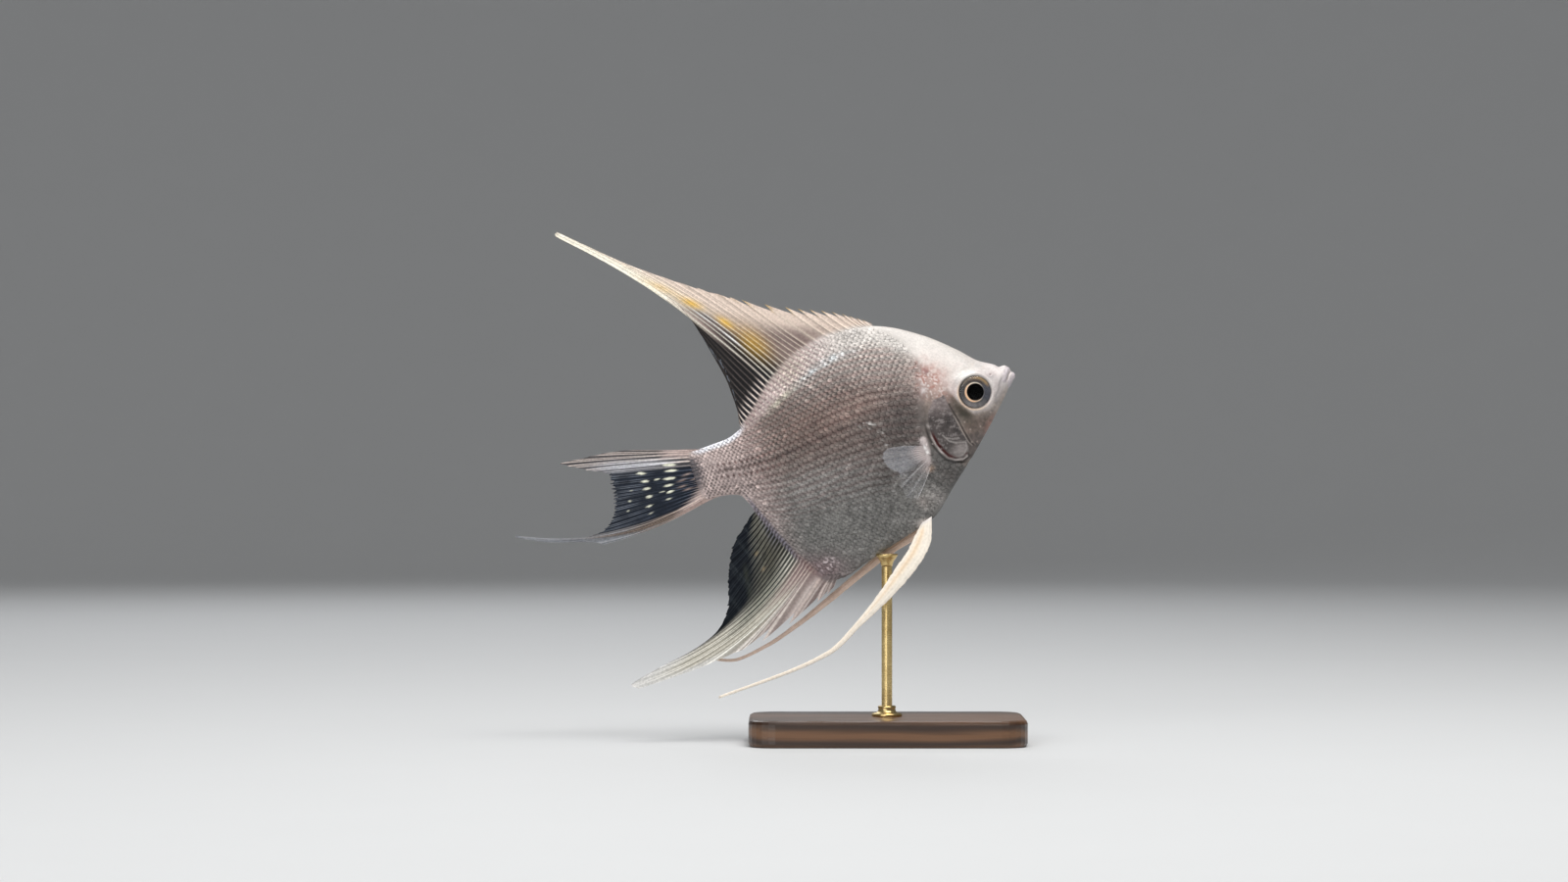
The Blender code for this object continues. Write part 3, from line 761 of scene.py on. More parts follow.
        # Orbit: a pale ring, warmer below and behind
        ring = hump(away, HEAD.orbit - 0.08, 0.24)
        warm = smooth(-2, 3, (s - HEAD.eye[0]) - (h - HEAD.eye[1]))
        below = 0.2 + 0.7 * smooth(-0.2, 0.8, (0.9 * back - 0.43 * up) / (away + 0.01))
        out = mix(out, mix((0.62, 0.56, 0.5), (0.7, 0.52, 0.38), warm), ring * below)
        out = mix(out, (0.07, 0.055, 0.045), smooth(HEAD.iris + 0.12, HEAD.iris - 0.1, away))
        # Mouth
        lips = np.minimum(HEAD.upper_lip.distance(s, h), HEAD.lower_lip.distance(s, h))
        out = mix(out, (0.46, 0.41, 0.445), smooth(0.9, 0.2, lips) * 0.7)
        out = mix(out, (0.2, 0.13, 0.13), HEAD.slit.band(s, h, 0.11) * 0.7)
        # Painted grey shade along the crease behind the lips
        out = mix(out, (0.33, 0.3, 0.3), HEAD.crease.band(s, h, 0.34)
                  * 0.55 * smooth(1.5, -0.5, h))
        return dabs(out, s, h, ((0.26, 0.2, 0.19), 0.8, HEAD.nostril, 0.2, 0.16),
                    *(((0.62, 0.5, 0.44), 0.6, pore, 0.2, 0.2) for pore in HEAD.pores))

    def skin(self, station: Array, height: Array) -> Array:
        """Colours of the whole skin, head and body joined behind the gill cover.

        Args:
            station: Stations of the points.
            height: Heights of the points.

        Returns:
            Red, green and blue for each point.
        """
        s, h = np.broadcast_arrays(station, height)
        depth = HEAD.cover_depth(s, h)
        behind = smooth(-1.2, 1.2, s - BODY_FRONT.at(h))
        behind = np.where(depth > 0, 0, behind)
        out = mix(self.head(s, h), self.body(s, h), behind)
        # Gill opening: painted shade in the groove behind the cover's free edge, and a dark red
        # slit under a pale rim, deepest low down
        low = smooth(-5.4, -7.6, h)
        under = 0.12 + 0.88 * smooth(-2, -6, h)
        # Painted shade behind the cover's free edge, where its raised rim overhangs the groove
        out = mix(out, (0.03, 0.024, 0.024), hump(depth, -0.45, 0.32) * 0.75 * under)
        out = mix(out, (0.6, 0.54, 0.52), spot(s, h, (22, -4.5), 0.45, 0.3, 80) * 0.6)
        broken = np.clip(0.72 + 0.45 * cloud(s, h, 0.8, 34), 0, 1)
        out = mix(out, (0.72, 0.65, 0.62), hump(depth, 0.06, 0.2) * low * broken)
        out = mix(out, (0.095, 0.008, 0.008), hump(depth, 0.55, 0.27) * low
                  * smooth(-13.6, -12.6, h))
        out = mix(out, (0.75, 0.7, 0.68), spot(s, h, (21, -10.9), 0.5, 0.16, 55))
        return out


# Station where the body's colours take over from the head's, by height
BODY_FRONT = Line(((-20, 15), (-14, 18), (-8, 22.6), (-2, 21.8), (4, 19), (12, 15), (20, 13)))
BREAST_SWIRL = Trace((
    (29.6, -13.6), (31.5, -13.3), (33.2, -14.5), (33.8, -16.4), (32.6, -18.2), (30.4, -18.8)))
MARKINGS = Markings()


# ---------------- meshes


def weave(rows: int, columns: int, closed: bool = False) -> Array:
    """Quads of a grid whose points are numbered row by row.

    Args:
        rows: Rows of points.
        columns: Points in a row.
        closed: Whether each row joins up into a ring.

    Returns:
        Four point numbers for each quad.
    """
    number = np.arange(rows * columns).reshape(rows, columns)
    if closed:
        number = np.concatenate((number, number[:, :1]), 1)
    return np.stack((number[:-1, :-1], number[:-1, 1:], number[1:, 1:], number[1:, :-1]),
                    -1).reshape(-1, 4)


def border(rows: int, columns: int) -> Array:
    """Point numbers round the edge of such a grid, in turn."""
    number = np.arange(rows * columns).reshape(rows, columns)
    return np.concatenate((number[:, 0], number[-1, 1:], number[-2::-1, -1], number[0, -2:0:-1]))


def spokes(ring: Array, hub: int) -> Array:
    """Triangles from a closed ring of point numbers to one hub."""
    return np.stack((ring, np.roll(ring, -1), np.full(len(ring), hub)), -1)


def lathe(radius: Array, level: Array, around: int) -> Array:
    """A profile turned about the upright axis, as rings of points."""
    turn, radius, level = turns(around), radius[:, None], level[:, None]
    return np.stack((radius * np.cos(turn), radius * np.sin(turn),
                     level * np.ones_like(turn)), -1)


@dataclass
class Shell:
    """A closed surface: points in fish measures, faces, and a tint and a patch for each point."""

    points: Array
    quads: Array
    tris: Array
    tint: Array
    patch: Array | None = None

    def volume(self) -> float:
        """Signed volume: the sum of each triangle's tetrahedron with the origin.

        Returns:
            The volume, negative where faces look in.
        """
        q = self.quads.reshape(-1, 4)
        tris = np.concatenate((q[:, :3], q[:, [0, 2, 3]], self.tris.reshape(-1, 3)))
        a, b, c = (self.points[tris[:, k]] for k in range(3))
        return float(np.einsum("ij,ij->i", a, np.cross(b, c)).sum() / 6)

    def outward(self) -> "Shell":
        """The same shell with its faces turned to look out."""
        if self.volume() < 0:
            self.quads, self.tris = self.quads[:, ::-1].copy(), self.tris[:, ::-1].copy()
        return self


def capped(rings: Array, tint: Array, ahead: float = 0) -> Shell:
    """Rings joined into one closed form, each end closed to a point amid its ring.

    Args:
        rings: Points, by ring and by place round it.
        tint: Colour of each point, by ring and place.
        ahead: How far the first end stands out along x.

    Returns:
        The form.
    """
    count, around = rings.shape[:2]
    ends = np.array([rings[0].mean(0) + (ahead, 0, 0), rings[-1].mean(0)])
    number, hub = np.arange(around), count * around
    tris = np.concatenate((spokes(number[::-1], hub), spokes(number + hub - around, hub + 1)))
    paint = np.concatenate((tint.reshape(-1, 3), tint[0, :1], tint[-1, :1]))
    return Shell(np.concatenate((rings.reshape(-1, 3), ends)), weave(count, around, True), tris,
                 paint).outward()


def two_sided(middle: Array, half: Array, tint: Array) -> Shell:
    """A thin closed blade: a sheet copied to both sides of its middle and joined at its rim.

    Args:
        middle: Grid of points, rows by columns by 3.
        half: Half thickness at each point, across the fish.
        tint: Colour, with or without opacity, at each point.

    Returns:
        The blade.
    """
    rows, columns = middle.shape[:2]
    side = np.stack((np.zeros_like(half), half, np.zeros_like(half)), -1)
    count = rows * columns
    edge = border(rows, columns)
    after = np.roll(edge, -1)
    rim = np.stack((edge, after, after + count, edge + count), -1)
    quads = weave(rows, columns)
    points = np.concatenate(((middle - side).reshape(-1, 3), (middle + side).reshape(-1, 3)))
    faces = np.concatenate((quads[:, ::-1], quads + count, rim))
    paint = tint.reshape(count, -1)
    return Shell(points, faces, np.zeros((0, 3), int), np.concatenate((paint, paint))).outward()


def make_piece(name: str, shell: Shell, finish: Material,
               nodes: tuple[str, ...] = (), placed: bool = False) -> bpy.types.Object:
    """Puts a shell into the scene as a finished piece.

    Args:
        name: The piece's name.
        shell: Its surface, in fish measures unless placed.
        finish: Its material.
        nodes: CAD nodes that it stands for.
        placed: Whether the points are already in the row frame, in metres.

    Returns:
        The new object, riding on the root body.
    """
    points = shell.points if placed else POSE.place(shell.points)
    quads, tris = shell.quads.reshape(-1, 4), shell.tris.reshape(-1, 3)
    corners = np.concatenate((quads.ravel(), tris.ravel())).astype(np.int32)
    starts = np.concatenate((np.arange(len(quads)) * 4, len(quads) * 4 + np.arange(len(tris)) * 3))
    mesh = bpy.data.meshes.new(name)
    mesh.vertices.add(len(points))
    mesh.vertices.foreach_set("co", points.astype(np.float32).ravel())
    mesh.loops.add(len(corners))
    mesh.loops.foreach_set("vertex_index", corners)
    mesh.polygons.add(len(starts))
    mesh.polygons.foreach_set("loop_start", starts.astype(np.int32))
    mesh.update(calc_edges=True)
    mesh.shade_smooth()
    tint = shell.tint
    if tint.shape[1] == 3:
        tint = np.concatenate((tint, np.ones((len(tint), 1))), 1)
    paint = mesh.color_attributes.new("tint", "FLOAT_COLOR", "POINT")
    paint.data.foreach_set("color", np.clip(tint, 0, 1).astype(np.float32).ravel())
    if shell.patch is not None:
        layer = mesh.uv_layers.new(name="OFBake")
        layer.uv.foreach_set("vector", shell.patch[corners].astype(np.float32).ravel())
    mesh.materials.append(finish)
    piece = bpy.data.objects.new(name, mesh)
    bpy.context.scene.collection.objects.link(piece)
    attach(piece, "root")
    if nodes:
        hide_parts(*nodes)
    log.info("%s: %d points, %d triangles", name, len(points), 2 * len(quads) + len(tris))
    return piece


# ---------------- finishes


class Nodes:
    """A small helper that adds and links shader nodes."""

    def __init__(self, name: str) -> None:
        """Starts a material that holds only its output and a Principled shader.

        Args:
            name: Name of the material.
        """
        self.material = bpy.data.materials.new(name)
        self.material.use_nodes = True
        self.tree = self.material.node_tree
        self.shader = self.tree.nodes["Principled BSDF"]

    def add(self, kind: str, **sockets: object) -> bpy.types.Node:
        """Adds a node and fills its named sockets.

        Args:
            kind: Node type without its "ShaderNode" prefix.
            sockets: Socket names, with _ for a space, and a value or another node's output.

        Returns:
            The new node.
        """
        node = self.tree.nodes.new("ShaderNode" + kind)
        for key, value in sockets.items():
            self.put(node, key.replace("_", " "), value)
        return node

    def put(self, node: bpy.types.Node, key: str | int, value: object) -> None:
        """Links or sets one socket."""
        socket = node.inputs[int(key)] if str(key).isdigit() else node.inputs[key]
        if isinstance(value, Socket):
            self.tree.links.new(value, socket)
        else:
            socket.default_value = value

    def math(self, operation: str, *values: object) -> Socket:
        """A Math node's result.

        Args:
            operation: Blender's name for the sum.
            values: Numbers or outputs that go into it, in order.

        Returns:
            The result's output.
        """
        node = self.add("Math")
        node.operation = operation
        for key, value in enumerate(values):
            self.put(node, key, value)
        return node.outputs[0]

    def ramp(self, fac: object, first: Rgb, last: Rgb, start: float = 0,
             end: float = 1) -> Socket:
        """A colour that goes from the first to the last as a factor goes from start to end.

        Args:
            fac: The factor, a socket.
            first: Colour at the start.
            last: Colour at the end.
            start: Where it leaves the first colour.
            end: Where it reaches the last.

        Returns:
            The colour.
        """
        node = self.add("ValToRGB", Fac=fac)
        for stop, colour, at in zip(node.color_ramp.elements, (first, last), (start, end)):
            stop.color, stop.position = (*colour, 1), at
        return node.outputs["Color"]

    def dress(self, **sockets: object) -> None:
        """Sets or links the shader's own sockets, named with _ for a space."""
        for key, value in sockets.items():
            self.put(self.shader, key.replace("_", " "), value)

    def place(self) -> Socket:
        """The piece's own coordinates, in metres."""
        return self.add("TexCoord").outputs["Object"]

    def noise(self, scale: float, detail: float = 3, where: object = None) -> Socket:
        """Noise about 1/scale metres across."""
        node = self.add("TexNoise", Scale=scale, Detail=detail, Vector=where or self.place())
        return node.outputs["Fac"]

    def stretched(self, detail: float, *scale: float) -> Socket:
        """Noise with a scale of its own along each axis."""
        where = self.add("Mapping", Vector=self.place(), Scale=scale).outputs[0]
        return self.noise(1, detail, where)

    def cells(self, scale: float) -> Socket:
        """Distance to the nearest of many scattered points, for speckles."""
        return self.add("TexVoronoi", Scale=scale, Vector=self.place()).outputs["Distance"]

    def bump(self, height: Socket, depth: float) -> None:
        """Raises the shader's normal by a height map of a given depth in metres."""
        self.dress(Normal=self.add("Bump", Height=height, Distance=depth).outputs["Normal"])

    def scaled(self, colour: Socket, factor: Socket) -> Socket:
        """A colour times a number that varies over the surface.

        Args:
            colour: The colour.
            factor: The number.

        Returns:
            The product.
        """
        node = self.add("VectorMath")
        node.operation = "SCALE"
        self.put(node, 0, colour)
        self.put(node, "Scale", factor)
        return node.outputs[0]


@dataclass(frozen=True)
class TintedFinish:
    """Painted tint with fine mottling, speckles and grain, such as skin, scales and fins."""

    name: str
    roughness: float = 0.42
    uneven: float = 0.16  # how much the roughness varies
    mottle: float = 0.22  # how much the tint varies
    mottle_scale: float = 900  # patches per metre
    speckle: float = 0  # share taken by dark pigment cells
    speckle_scale: float = 3200
    grain: float = 0.00003  # depth of the grain, in metres
    grain_scale: float = 5200
    specular: float = 0.3
    coat: float = 0
    see_through: bool = False

    def build(self) -> Material:
        """Makes the material: tint times mottling, less pigment specks, with grain as bump.

        Returns:
            The material.
        """
        made = Nodes(self.name)
        tint = made.add("Attribute")
        tint.attribute_type = "GEOMETRY"
        tint.attribute_name = "tint"
        wide = made.noise(self.mottle_scale, 4)
        shade = made.math("MULTIPLY_ADD", wide, 2 * self.mottle, 1 - self.mottle)
        if self.speckle:
            dot = made.math("LESS_THAN", made.cells(self.speckle_scale), 0.26)
            patchy = made.math("GREATER_THAN", made.noise(self.speckle_scale / 5, 1), 0.48)
            loss = made.math("MULTIPLY", made.math("MULTIPLY", dot, patchy), self.speckle)
            shade = made.math("MULTIPLY", shade, made.math("SUBTRACT", 1, loss))
        made.dress(Base_Color=made.scaled(tint.outputs["Color"], shade))
        rough = made.math("MULTIPLY_ADD", made.noise(self.grain_scale / 3, 2), self.uneven,
                          self.roughness - self.uneven / 2)
        made.dress(Roughness=rough, Specular_IOR_Level=self.specular, Coat_Weight=self.coat)
        if self.see_through:
            made.dress(Alpha=tint.outputs["Alpha"])
        made.bump(made.noise(self.grain_scale, 3), self.grain)
        return made.material


@dataclass(frozen=True)
class CorneaFinish:
    """Clear wet window: unseen face on, mirror-like at a glance."""

    name: str = "cornea"

    def build(self) -> Material:
        """Makes the material: a polished surface as solid as its own reflectance.

        Returns:
            The material.
        """
        made = Nodes(self.name)
        made.dress(Base_Color=(1, 1, 1, 1), Metallic=1, Roughness=0.03,
                   Alpha=made.add("Fresnel", IOR=1.15).outputs[0])
        return made.material


@dataclass(frozen=True)
class WoodFinish:
    """Dark stained hardwood with grain along the base, under satin lacquer."""

    name: str = "walnut"
    dark: Rgb = (0.03, 0.013, 0.006)
    light: Rgb = (0.15, 0.07, 0.03)

    def build(self) -> Material:
        """Makes the material: stretched noise bands for growth rings, and fine pores.

        Returns:
            The material.
        """
        made = Nodes(self.name)
        long = made.add("Mapping", Vector=made.place(), Scale=(14, 150, 150),
                        Rotation=(0.06, 0.04, 0.05)).outputs[0]
        bands = made.add("TexWave", Vector=long, Scale=0.5, Distortion=5, Detail=3,
                         Detail_Scale=1.3)
        bands.bands_direction = "Z"
        fibre = made.stretched(6, 60, 1500, 1500)
        both = made.math("MULTIPLY", bands.outputs["Fac"], made.math("ADD", fibre, 0.45))
        made.dress(Base_Color=made.ramp(both, self.dark, self.light, end=0.85))
        made.dress(Roughness=made.math("MULTIPLY_ADD", fibre, 0.25, 0.22), Coat_Weight=0.25)
        made.bump(fibre, 0.00006)
        return made.material


@dataclass(frozen=True)
class BrassFinish:
    """Brushed brass: fine rings round the rod, and slight tarnish."""

    name: str = "brass"
    dull: Rgb = (0.48, 0.34, 0.14)
    bright: Rgb = (0.72, 0.55, 0.26)

    def build(self) -> Material:
        """Makes the material: metal with noise stretched round the rod.

        Returns:
            The material.
        """
        made = Nodes(self.name)
        rings = made.stretched(4, 300, 300, 9000)
        tarnish = made.noise(260, 3)
        made.dress(Base_Color=made.ramp(tarnish, self.dull, self.bright, 0.3, 0.65), Metallic=1)
        made.dress(Roughness=made.math("MULTIPLY_ADD", rings, 0.22, 0.17))
        made.bump(rings, 0.00002)
        return made.material


@dataclass(frozen=True)
class StudioFinish:
    """Plain pale paint of the studio floor."""

    name: str = "studio_floor"
    colour: Rgb = (0.62, 0.63, 0.64)

    def build(self) -> Material:
        """Makes the material: matt paint with the faintest unevenness.

        Returns:
            The material.
        """
        made = Nodes(self.name)
        faint = tuple(0.985 * c for c in self.colour)
        made.dress(Base_Color=made.ramp(made.noise(30, 2), faint, self.colour), Roughness=0.8)
        return made.material


# ---------------- skin and scales


@dataclass(frozen=True)
class Skin:
    """One skin over head, jaw, gill covers, trunk and tail stem."""

    head_rings: int = 186
    body_rings: int = 112
    head_end: float = 24.6
    sides: int = 320
    crowd: float = 0.2  # how much the rings' points crowd onto the flanks
    sink: float = 0.13  # depth of the coat of scales
    nose: float = 0.14  # the nose cap stands this far ahead of the first ring

    def relief(self, s: Array, h: Array) -> Array:
        """Raised and sunk detail, in mm along the normal: a sum of humps along traced lines.

        Args:
            s: Stations of the points.
            h: Heights of the points.

        Returns:
            Millimetres outward.
        """
        eye = HEAD.eye_distance(s, h)
        depth = HEAD.cover_depth(s, h)
        bands = ((-0.44, HEAD.slit, 0, 0.13), (0.24, HEAD.upper_lip, 0, 0.4),
                 (0.22, HEAD.lower_lip, 0, 0.45), (-0.13, HEAD.crease, 0, 0.26),
                 (0.07, HEAD.crease, 0.8, 0.45), (-0.16, HEAD.pre_line, 0, 0.18),
                 (0.1, HEAD.pre_line, 0.42, 0.2), (0.08, HEAD.pre_line, -0.45, 0.3),
                 (0.55, HEAD.shoulder, 0, 0.85),
                 *((0.05, streak, 0, 0.22) for streak in HEAD.streaks))
        out = sum(rise * trace.band(s - behind, h, width) for rise, trace, behind, width in bands)
        out += 0.14 * spot(s, h, (1.15, 2.6), 0.5, 0.6) - 0.1 * spot(s, h, (2.5, 3), 0.5, 0.5)
        nostril = np.hypot(s - HEAD.nostril[0], h - HEAD.nostril[1])
        out += 0.06 * hump(nostril, 0.42, 0.14) - 0.3 * hump(nostril, 0, 0.2)
        out += 0.17 * hump(eye, HEAD.orbit, 0.24) - 0.09 * hump(eye, HEAD.orbit + 0.75, 0.32)
        out += 0.05 * hump(eye, HEAD.orbit + 1.5, 0.5)
        out -= 1.5 * smooth(HEAD.iris + 0.18, HEAD.iris - 0.45, eye)
        for pore in HEAD.pores:
            out -= 0.12 * hump(np.hypot(s - pore[0], h - pore[1]), 0, 0.17)
        rear = smooth(14.6, 16.6, s) * smooth(27, 23, s)
        low = smooth(-5.4, -7.6, h) * smooth(-13.8, -12.8, h)
        under = 0.12 + 0.88 * smooth(-2, -6.5, h)
        step = 0.3 * smooth(-0.14, 0.16, depth) * (1 - smooth(0.9, 5.5, depth))
        groove = 0.26 * hump(depth, -0.42, 0.24) - 0.08 * hump(depth, 0.1, 0.15)
        out += rear * ((step - groove) * under - 0.55 * hump(depth, 0.55, 0.22) * low)
        return out

    def covered(self, s: Array, h: Array) -> Array:
        """How far scales cover a place: 0 on the bare head, 1 on the flank."""
        return smooth(-0.5, 1.5, s - COAT_FRONT.at(h))

    def eye_shift(self, s: Array, h: Array, side: Array) -> Array:
        """Moves the flank out or in to the flat that the eye sits on, fading away from it."""
        near = smooth(6.4, 4.3, HEAD.eye_distance(s, h))
        return (HEAD.eye_plane(s, h) - np.abs(side)) * near

    def shell(self) -> Shell:
        """The whole skin as rings, with relief along the normals and both ends capped.

        Returns:
            The skin.
        """
        station = np.concatenate((
            np.linspace(FORM.front, self.head_end, self.head_rings, endpoint=False),
            np.linspace(self.head_end, FORM.rear, self.body_rings)))[:, None]
        turn = turns(self.sides)
        angle = turn - self.crowd * np.sin(2 * turn)
        base = FORM.point(station, angle)
        s, h = -base[..., 0], base[..., 2]
        lift = self.relief(s, h) - self.sink * self.covered(s, h)
        points = base.copy()
        points[..., 1] += np.sign(base[..., 1]) * self.eye_shift(s, h, base[..., 1])
        points = points + FORM.normal(station, angle) * lift[..., None]
        return capped(points, MARKINGS.skin(s, h), self.nose)

    def make(self) -> None:
        """Builds and dresses the skin."""
        finish = TintedFinish("angelfish_skin", roughness=0.4, mottle=0.28, mottle_scale=2300,
                              speckle=0.22, speckle_scale=4200, grain=0.000035,
                              specular=0.36, coat=0.06)
        make_piece("skin", self.shell(), finish.build(),
                   ("head", "lower_jaw", "gill_cover_right", "gill_cover_left", "trunk",
                    "tail_stem"))


# Station where the coat of scales begins, by height
COAT_FRONT = Line((
    (-31, 31), (-26, 23), (-20, 16.4), (-17, 14.6), (-15, 14.4), (-13.4, 17.6), (-12, 21),
    (-9, 22.8), (-5, 23.4), (-2, 23), (2, 21.6), (6, 20), (10, 19), (14, 20), (18, 23), (23, 29)))


@dataclass(frozen=True)
class ScaleShape:
    """One scale: a rounded plate whose front is buried and whose rear edge stands free."""

    grid: int = 7  # points along and across
    front_lift: float = -0.11
    rear_lift: float = 0.026
    crown: float = 0.016
    foot: float = -0.22

    def plan(self) -> tuple[Array, Array]:
        """Points of a square grid eased onto a disc, along and across, from -1 to 1.

        Returns:
            The points along, and across.
        """
        line = np.linspace(-1, 1, self.grid)
        x, y = np.meshgrid(line, line, indexing="ij")
        return x * np.sqrt(1 - y * y / 2), y * np.sqrt(1 - x * x / 2)

    def lift(self, along: Array, across: Array) -> Array:
        """Height over the body's form: it rises to the rear and is slightly crowned."""
        rise = ((along + 1) / 2) ** 0.9
        return (self.front_lift + (self.rear_lift - self.front_lift) * rise
                + self.crown * (1 - across**2) * (0.4 + 0.6 * rise))


@dataclass(frozen=True)
class Placing:
    """Where scales grow: arrays with one entry for each scale."""

    station: Array
    height: Array
    lie: Array  # direction of the free edge, radians up from straight back
    length: Array  # half length
    breadth: Array  # half breadth
    stand: Array  # share of the full lift
    edge: Array  # how strongly the plate's rim and the painted shadow at its root are marked, and the painted highlight on a lucky scale


@dataclass(frozen=True)
class Coat:
    """All the scales of one flank."""

    flank: Flank
    shape: ScaleShape = ScaleShape()
    seed: int = 11
    first: float = 14  # stations of the first column of scales, and of the last
    last: float = 73.8
    split: float = 42  # station where the front piece ends
    uneven: tuple[float, float, float] = (0.07, 0.11, 0.007)  # in size, turn and tilt
    file_step: float = 0.86  # between the files of a fin's root
    file_row: float = 0.8  # between the scales of a file
    cheek_step: tuple[float, float] = (0.92, 0.56)
    bake_map: tuple[float, float] = (79, 74)  # millimetres that the bake map spans
    spacing: Line = Line(((14, 1.28), (50, 1.2), (62, 1.02), (74, 0.84)))
    patch: float = 0.0015  # half the width of a scale's patch of the bake map

    def flank_scales(self) -> Placing:
        """Two rows to each dark line: every second row is set back by half a scale.

        Returns:
            Where the scales grow.
        """
        s = [self.first]
        while s[-1] < 74:
            s.append(s[-1] + float(self.spacing.at(np.array(s[-1]))))
        steps = np.array(s)
        row = np.arange(-2 * ROWS.count, 2 * ROWS.count) / 2 + 0.25
        k = np.arange(len(steps) - 1)
        gap = self.spacing.at(steps[:-1])
        odd = (np.abs(np.floor(row * 2)) % 2)[:, None]
        station = steps[None, k] + gap[None] * (0.5 * odd)
        number = np.broadcast_to(row[:, None], station.shape)
        height = ROWS.height(number, station)
        over = ROWS.height(number + 0.25, station) - ROWS.height(number - 0.25, station)
        lie = np.arctan(ROWS.height(number, station + 0.5) - ROWS.height(number, station - 0.5))
        gap = np.broadcast_to(gap, station.shape)
        top, belly = FORM.top.at(station), FORM.belly.at(station)
        keep = ((height < top - 0.35) & (height > belly + 0.3)
                & (station > COAT_FRONT.at(height)) & (station < self.last)
                & (HEAD.cover_depth(station, height) < -0.9)
                & (HEAD.shoulder.distance(station, height) > 1.15)
                & (top - height > DORSAL_BAND.at(station) - 0.4)
                & (height - belly > ANAL_BAND.at(station) - 0.4))
        into = station - COAT_FRONT.at(height)
        stand = np.where(height > 4, smooth(0, 9, into), smooth(-0.5, 1.2, into))
        stand = 0.25 + 0.75 * stand
        over_edge = height - MARKINGS.pale_edge.at(station)
        stand = stand * (1 - 0.6 * smooth(-0.5, 2, over_edge) * smooth(42, 32, station))
        edge = 0.22 + 0.78 * np.maximum(smooth(-12, -7, over_edge), smooth(54, 62, station))
        edge = edge * (1 - 0.6 * smooth(-1, 3, over_edge)) * smooth(0, 5, into)
        return Placing(station[keep], height[keep], lie[keep], gap[keep] * 0.84,
                       over[keep] * 0.66, stand[keep], edge[keep])

    def band_scales(self, outline: Line, band: Line, first: float, last: float, lean: Line,
                    up: int) -> Placing:
        """Small scales over a median fin's root, in files that follow its rays.

        Args:
            outline: The back or belly line.
            band: Breadth of the band by station.
            first: Station where it begins.
            last: Station where it ends.
            lean: Angle of the rays by station, in degrees.
            up: 1 on the back and -1 on the belly.

        Returns:
            Where the scales grow.
        """
        step = 0.42
        base = np.arange(first, last, step)
        run = np.hypot(step, step * outline.slope(base))
        base = np.interp(np.arange(0, run.sum(), self.file_step), np.cumsum(run), base)
        rise = outline.slope(base)
        inward = np.stack((rise, -np.ones_like(rise)), -1) / np.hypot(rise, 1)[:, None] * up
        deep = np.arange(0.35, 6.5, self.file_row)
        odd = (np.arange(len(base)) % 2)[:, None] * self.file_row / 2
        depth = deep[None, :] + odd
        station = base[:, None] + inward[:, :1] * depth
        height = outline.at(base)[:, None] + inward[:, 1:] * depth
        keep = depth < band.at(base)[:, None]
        lie = np.broadcast_to(np.radians(lean.at(base))[:, None], station.shape)
        one = np.ones_like(station)
        return Placing(station[keep], height[keep], lie[keep], one[keep] * 0.66,
                       one[keep] * 0.56, one[keep] * 0.75, one[keep] * 0.5)

    def cheek_scales(self) -> Placing:
        """Small flat scales on the gill cover and the cheek.

        Returns:
            Where the scales grow.
        """
        along, across = self.cheek_step
        station, row = np.meshgrid(np.arange(11.5, 22.5, along), np.arange(-14.5, 1.5, across),
                                   indexing="ij")
        odd = np.arange(row.shape[1]) % 2
        station = station + along / 2 * odd[None, :]
        height = row - 0.12 * (station - 15)
        cover = HEAD.cover_depth(station, height) > 0.95
        clear = HEAD.pre_line.distance(station, height) > 0.75
        cheek = ((HEAD.eye_distance(station, height) > 5.1) & (station < 15.2)
                 & (station > 12) & (height < -1) & (height > -9.5))
        keep = (cover | cheek) & clear
        one = np.ones(int(keep.sum()))
        return Placing(station[keep], height[keep], one * -0.12, one * 0.74, one * 0.66,
                       one * 0.42, one * 0.5)

    def plates(self, where: Placing, seed: int) -> Shell:
        """Scales as closed plates on the body's form.

        A point of a scale lies along and across from its root, on the form at that station and
        ring angle, less what the form itself climbs on the way, and is lifted along the normal.
        The rim joins a foot sunk under the plate.

        Args:
            where: Where the scales grow.
            seed: Picks their small differences.

        Returns:
            All the scales in one shell.
        """
        chance = np.random.default_rng(seed)
        count = len(where.station)
        u, v = self.shape.plan()
        grid = self.shape.grid
        jitter = chance.normal(0, 1, (count, 5))
        uneven_size, uneven_turn, uneven_tilt = self.uneven
        size = 1 + uneven_size * jitter[:, 0]
        along = u.ravel()[None] * (where.length * size)[:, None]
        across = v.ravel()[None] * (where.breadth * size)[:, None]
        turn = where.lie + uneven_turn * jitter[:, 1]
        c, sn = np.cos(turn)[:, None], np.sin(turn)[:, None]
        side = self.flank.value
        root = FORM.angle(where.station, where.height, self.flank)
        speed = FORM.speed(where.station, root)
        station = where.station[:, None] + along * c - across * sn
        climb = FORM.point(where.station + 0.5, root) - FORM.point(where.station - 0.5, root)
        over = along * sn + across * c - climb[:, 2:] * (station - where.station[:, None])
        angle = root[:, None] + side * over / speed[:, None]
        lift = self.shape.lift(u, v).ravel()[None] * np.ones((count, 1))
        full = self.shape.front_lift
        lift = full + (lift - full) * where.stand[:, None]
        lift = (lift + uneven_tilt * jitter[:, 2:3] * u.ravel()
                + uneven_tilt * jitter[:, 3:4] * v.ravel())
        base = FORM.point(station, angle)
        cover = Skin().relief(-base[..., 0], base[..., 2])
        lift = lift + np.clip(cover, -0.3, 0.6)
        points = base + FORM.normal(station, angle) * lift[..., None]
        foot = FORM.point(where.station, root) + (FORM.normal(where.station, root)
                                                   * self.shape.foot)
        tint = self.tint(where, base, u.ravel(), v.ravel(), jitter[:, 4])
        points = np.concatenate((points, foot[:, None]), 1)
        tint = np.concatenate((tint, tint.mean(1, keepdims=True)), 1)
        quads = weave(grid, grid)
        tris = spokes(border(grid, grid), grid * grid)
        each = grid * grid + 1
        shift = (np.arange(count) * each)[:, None, None]
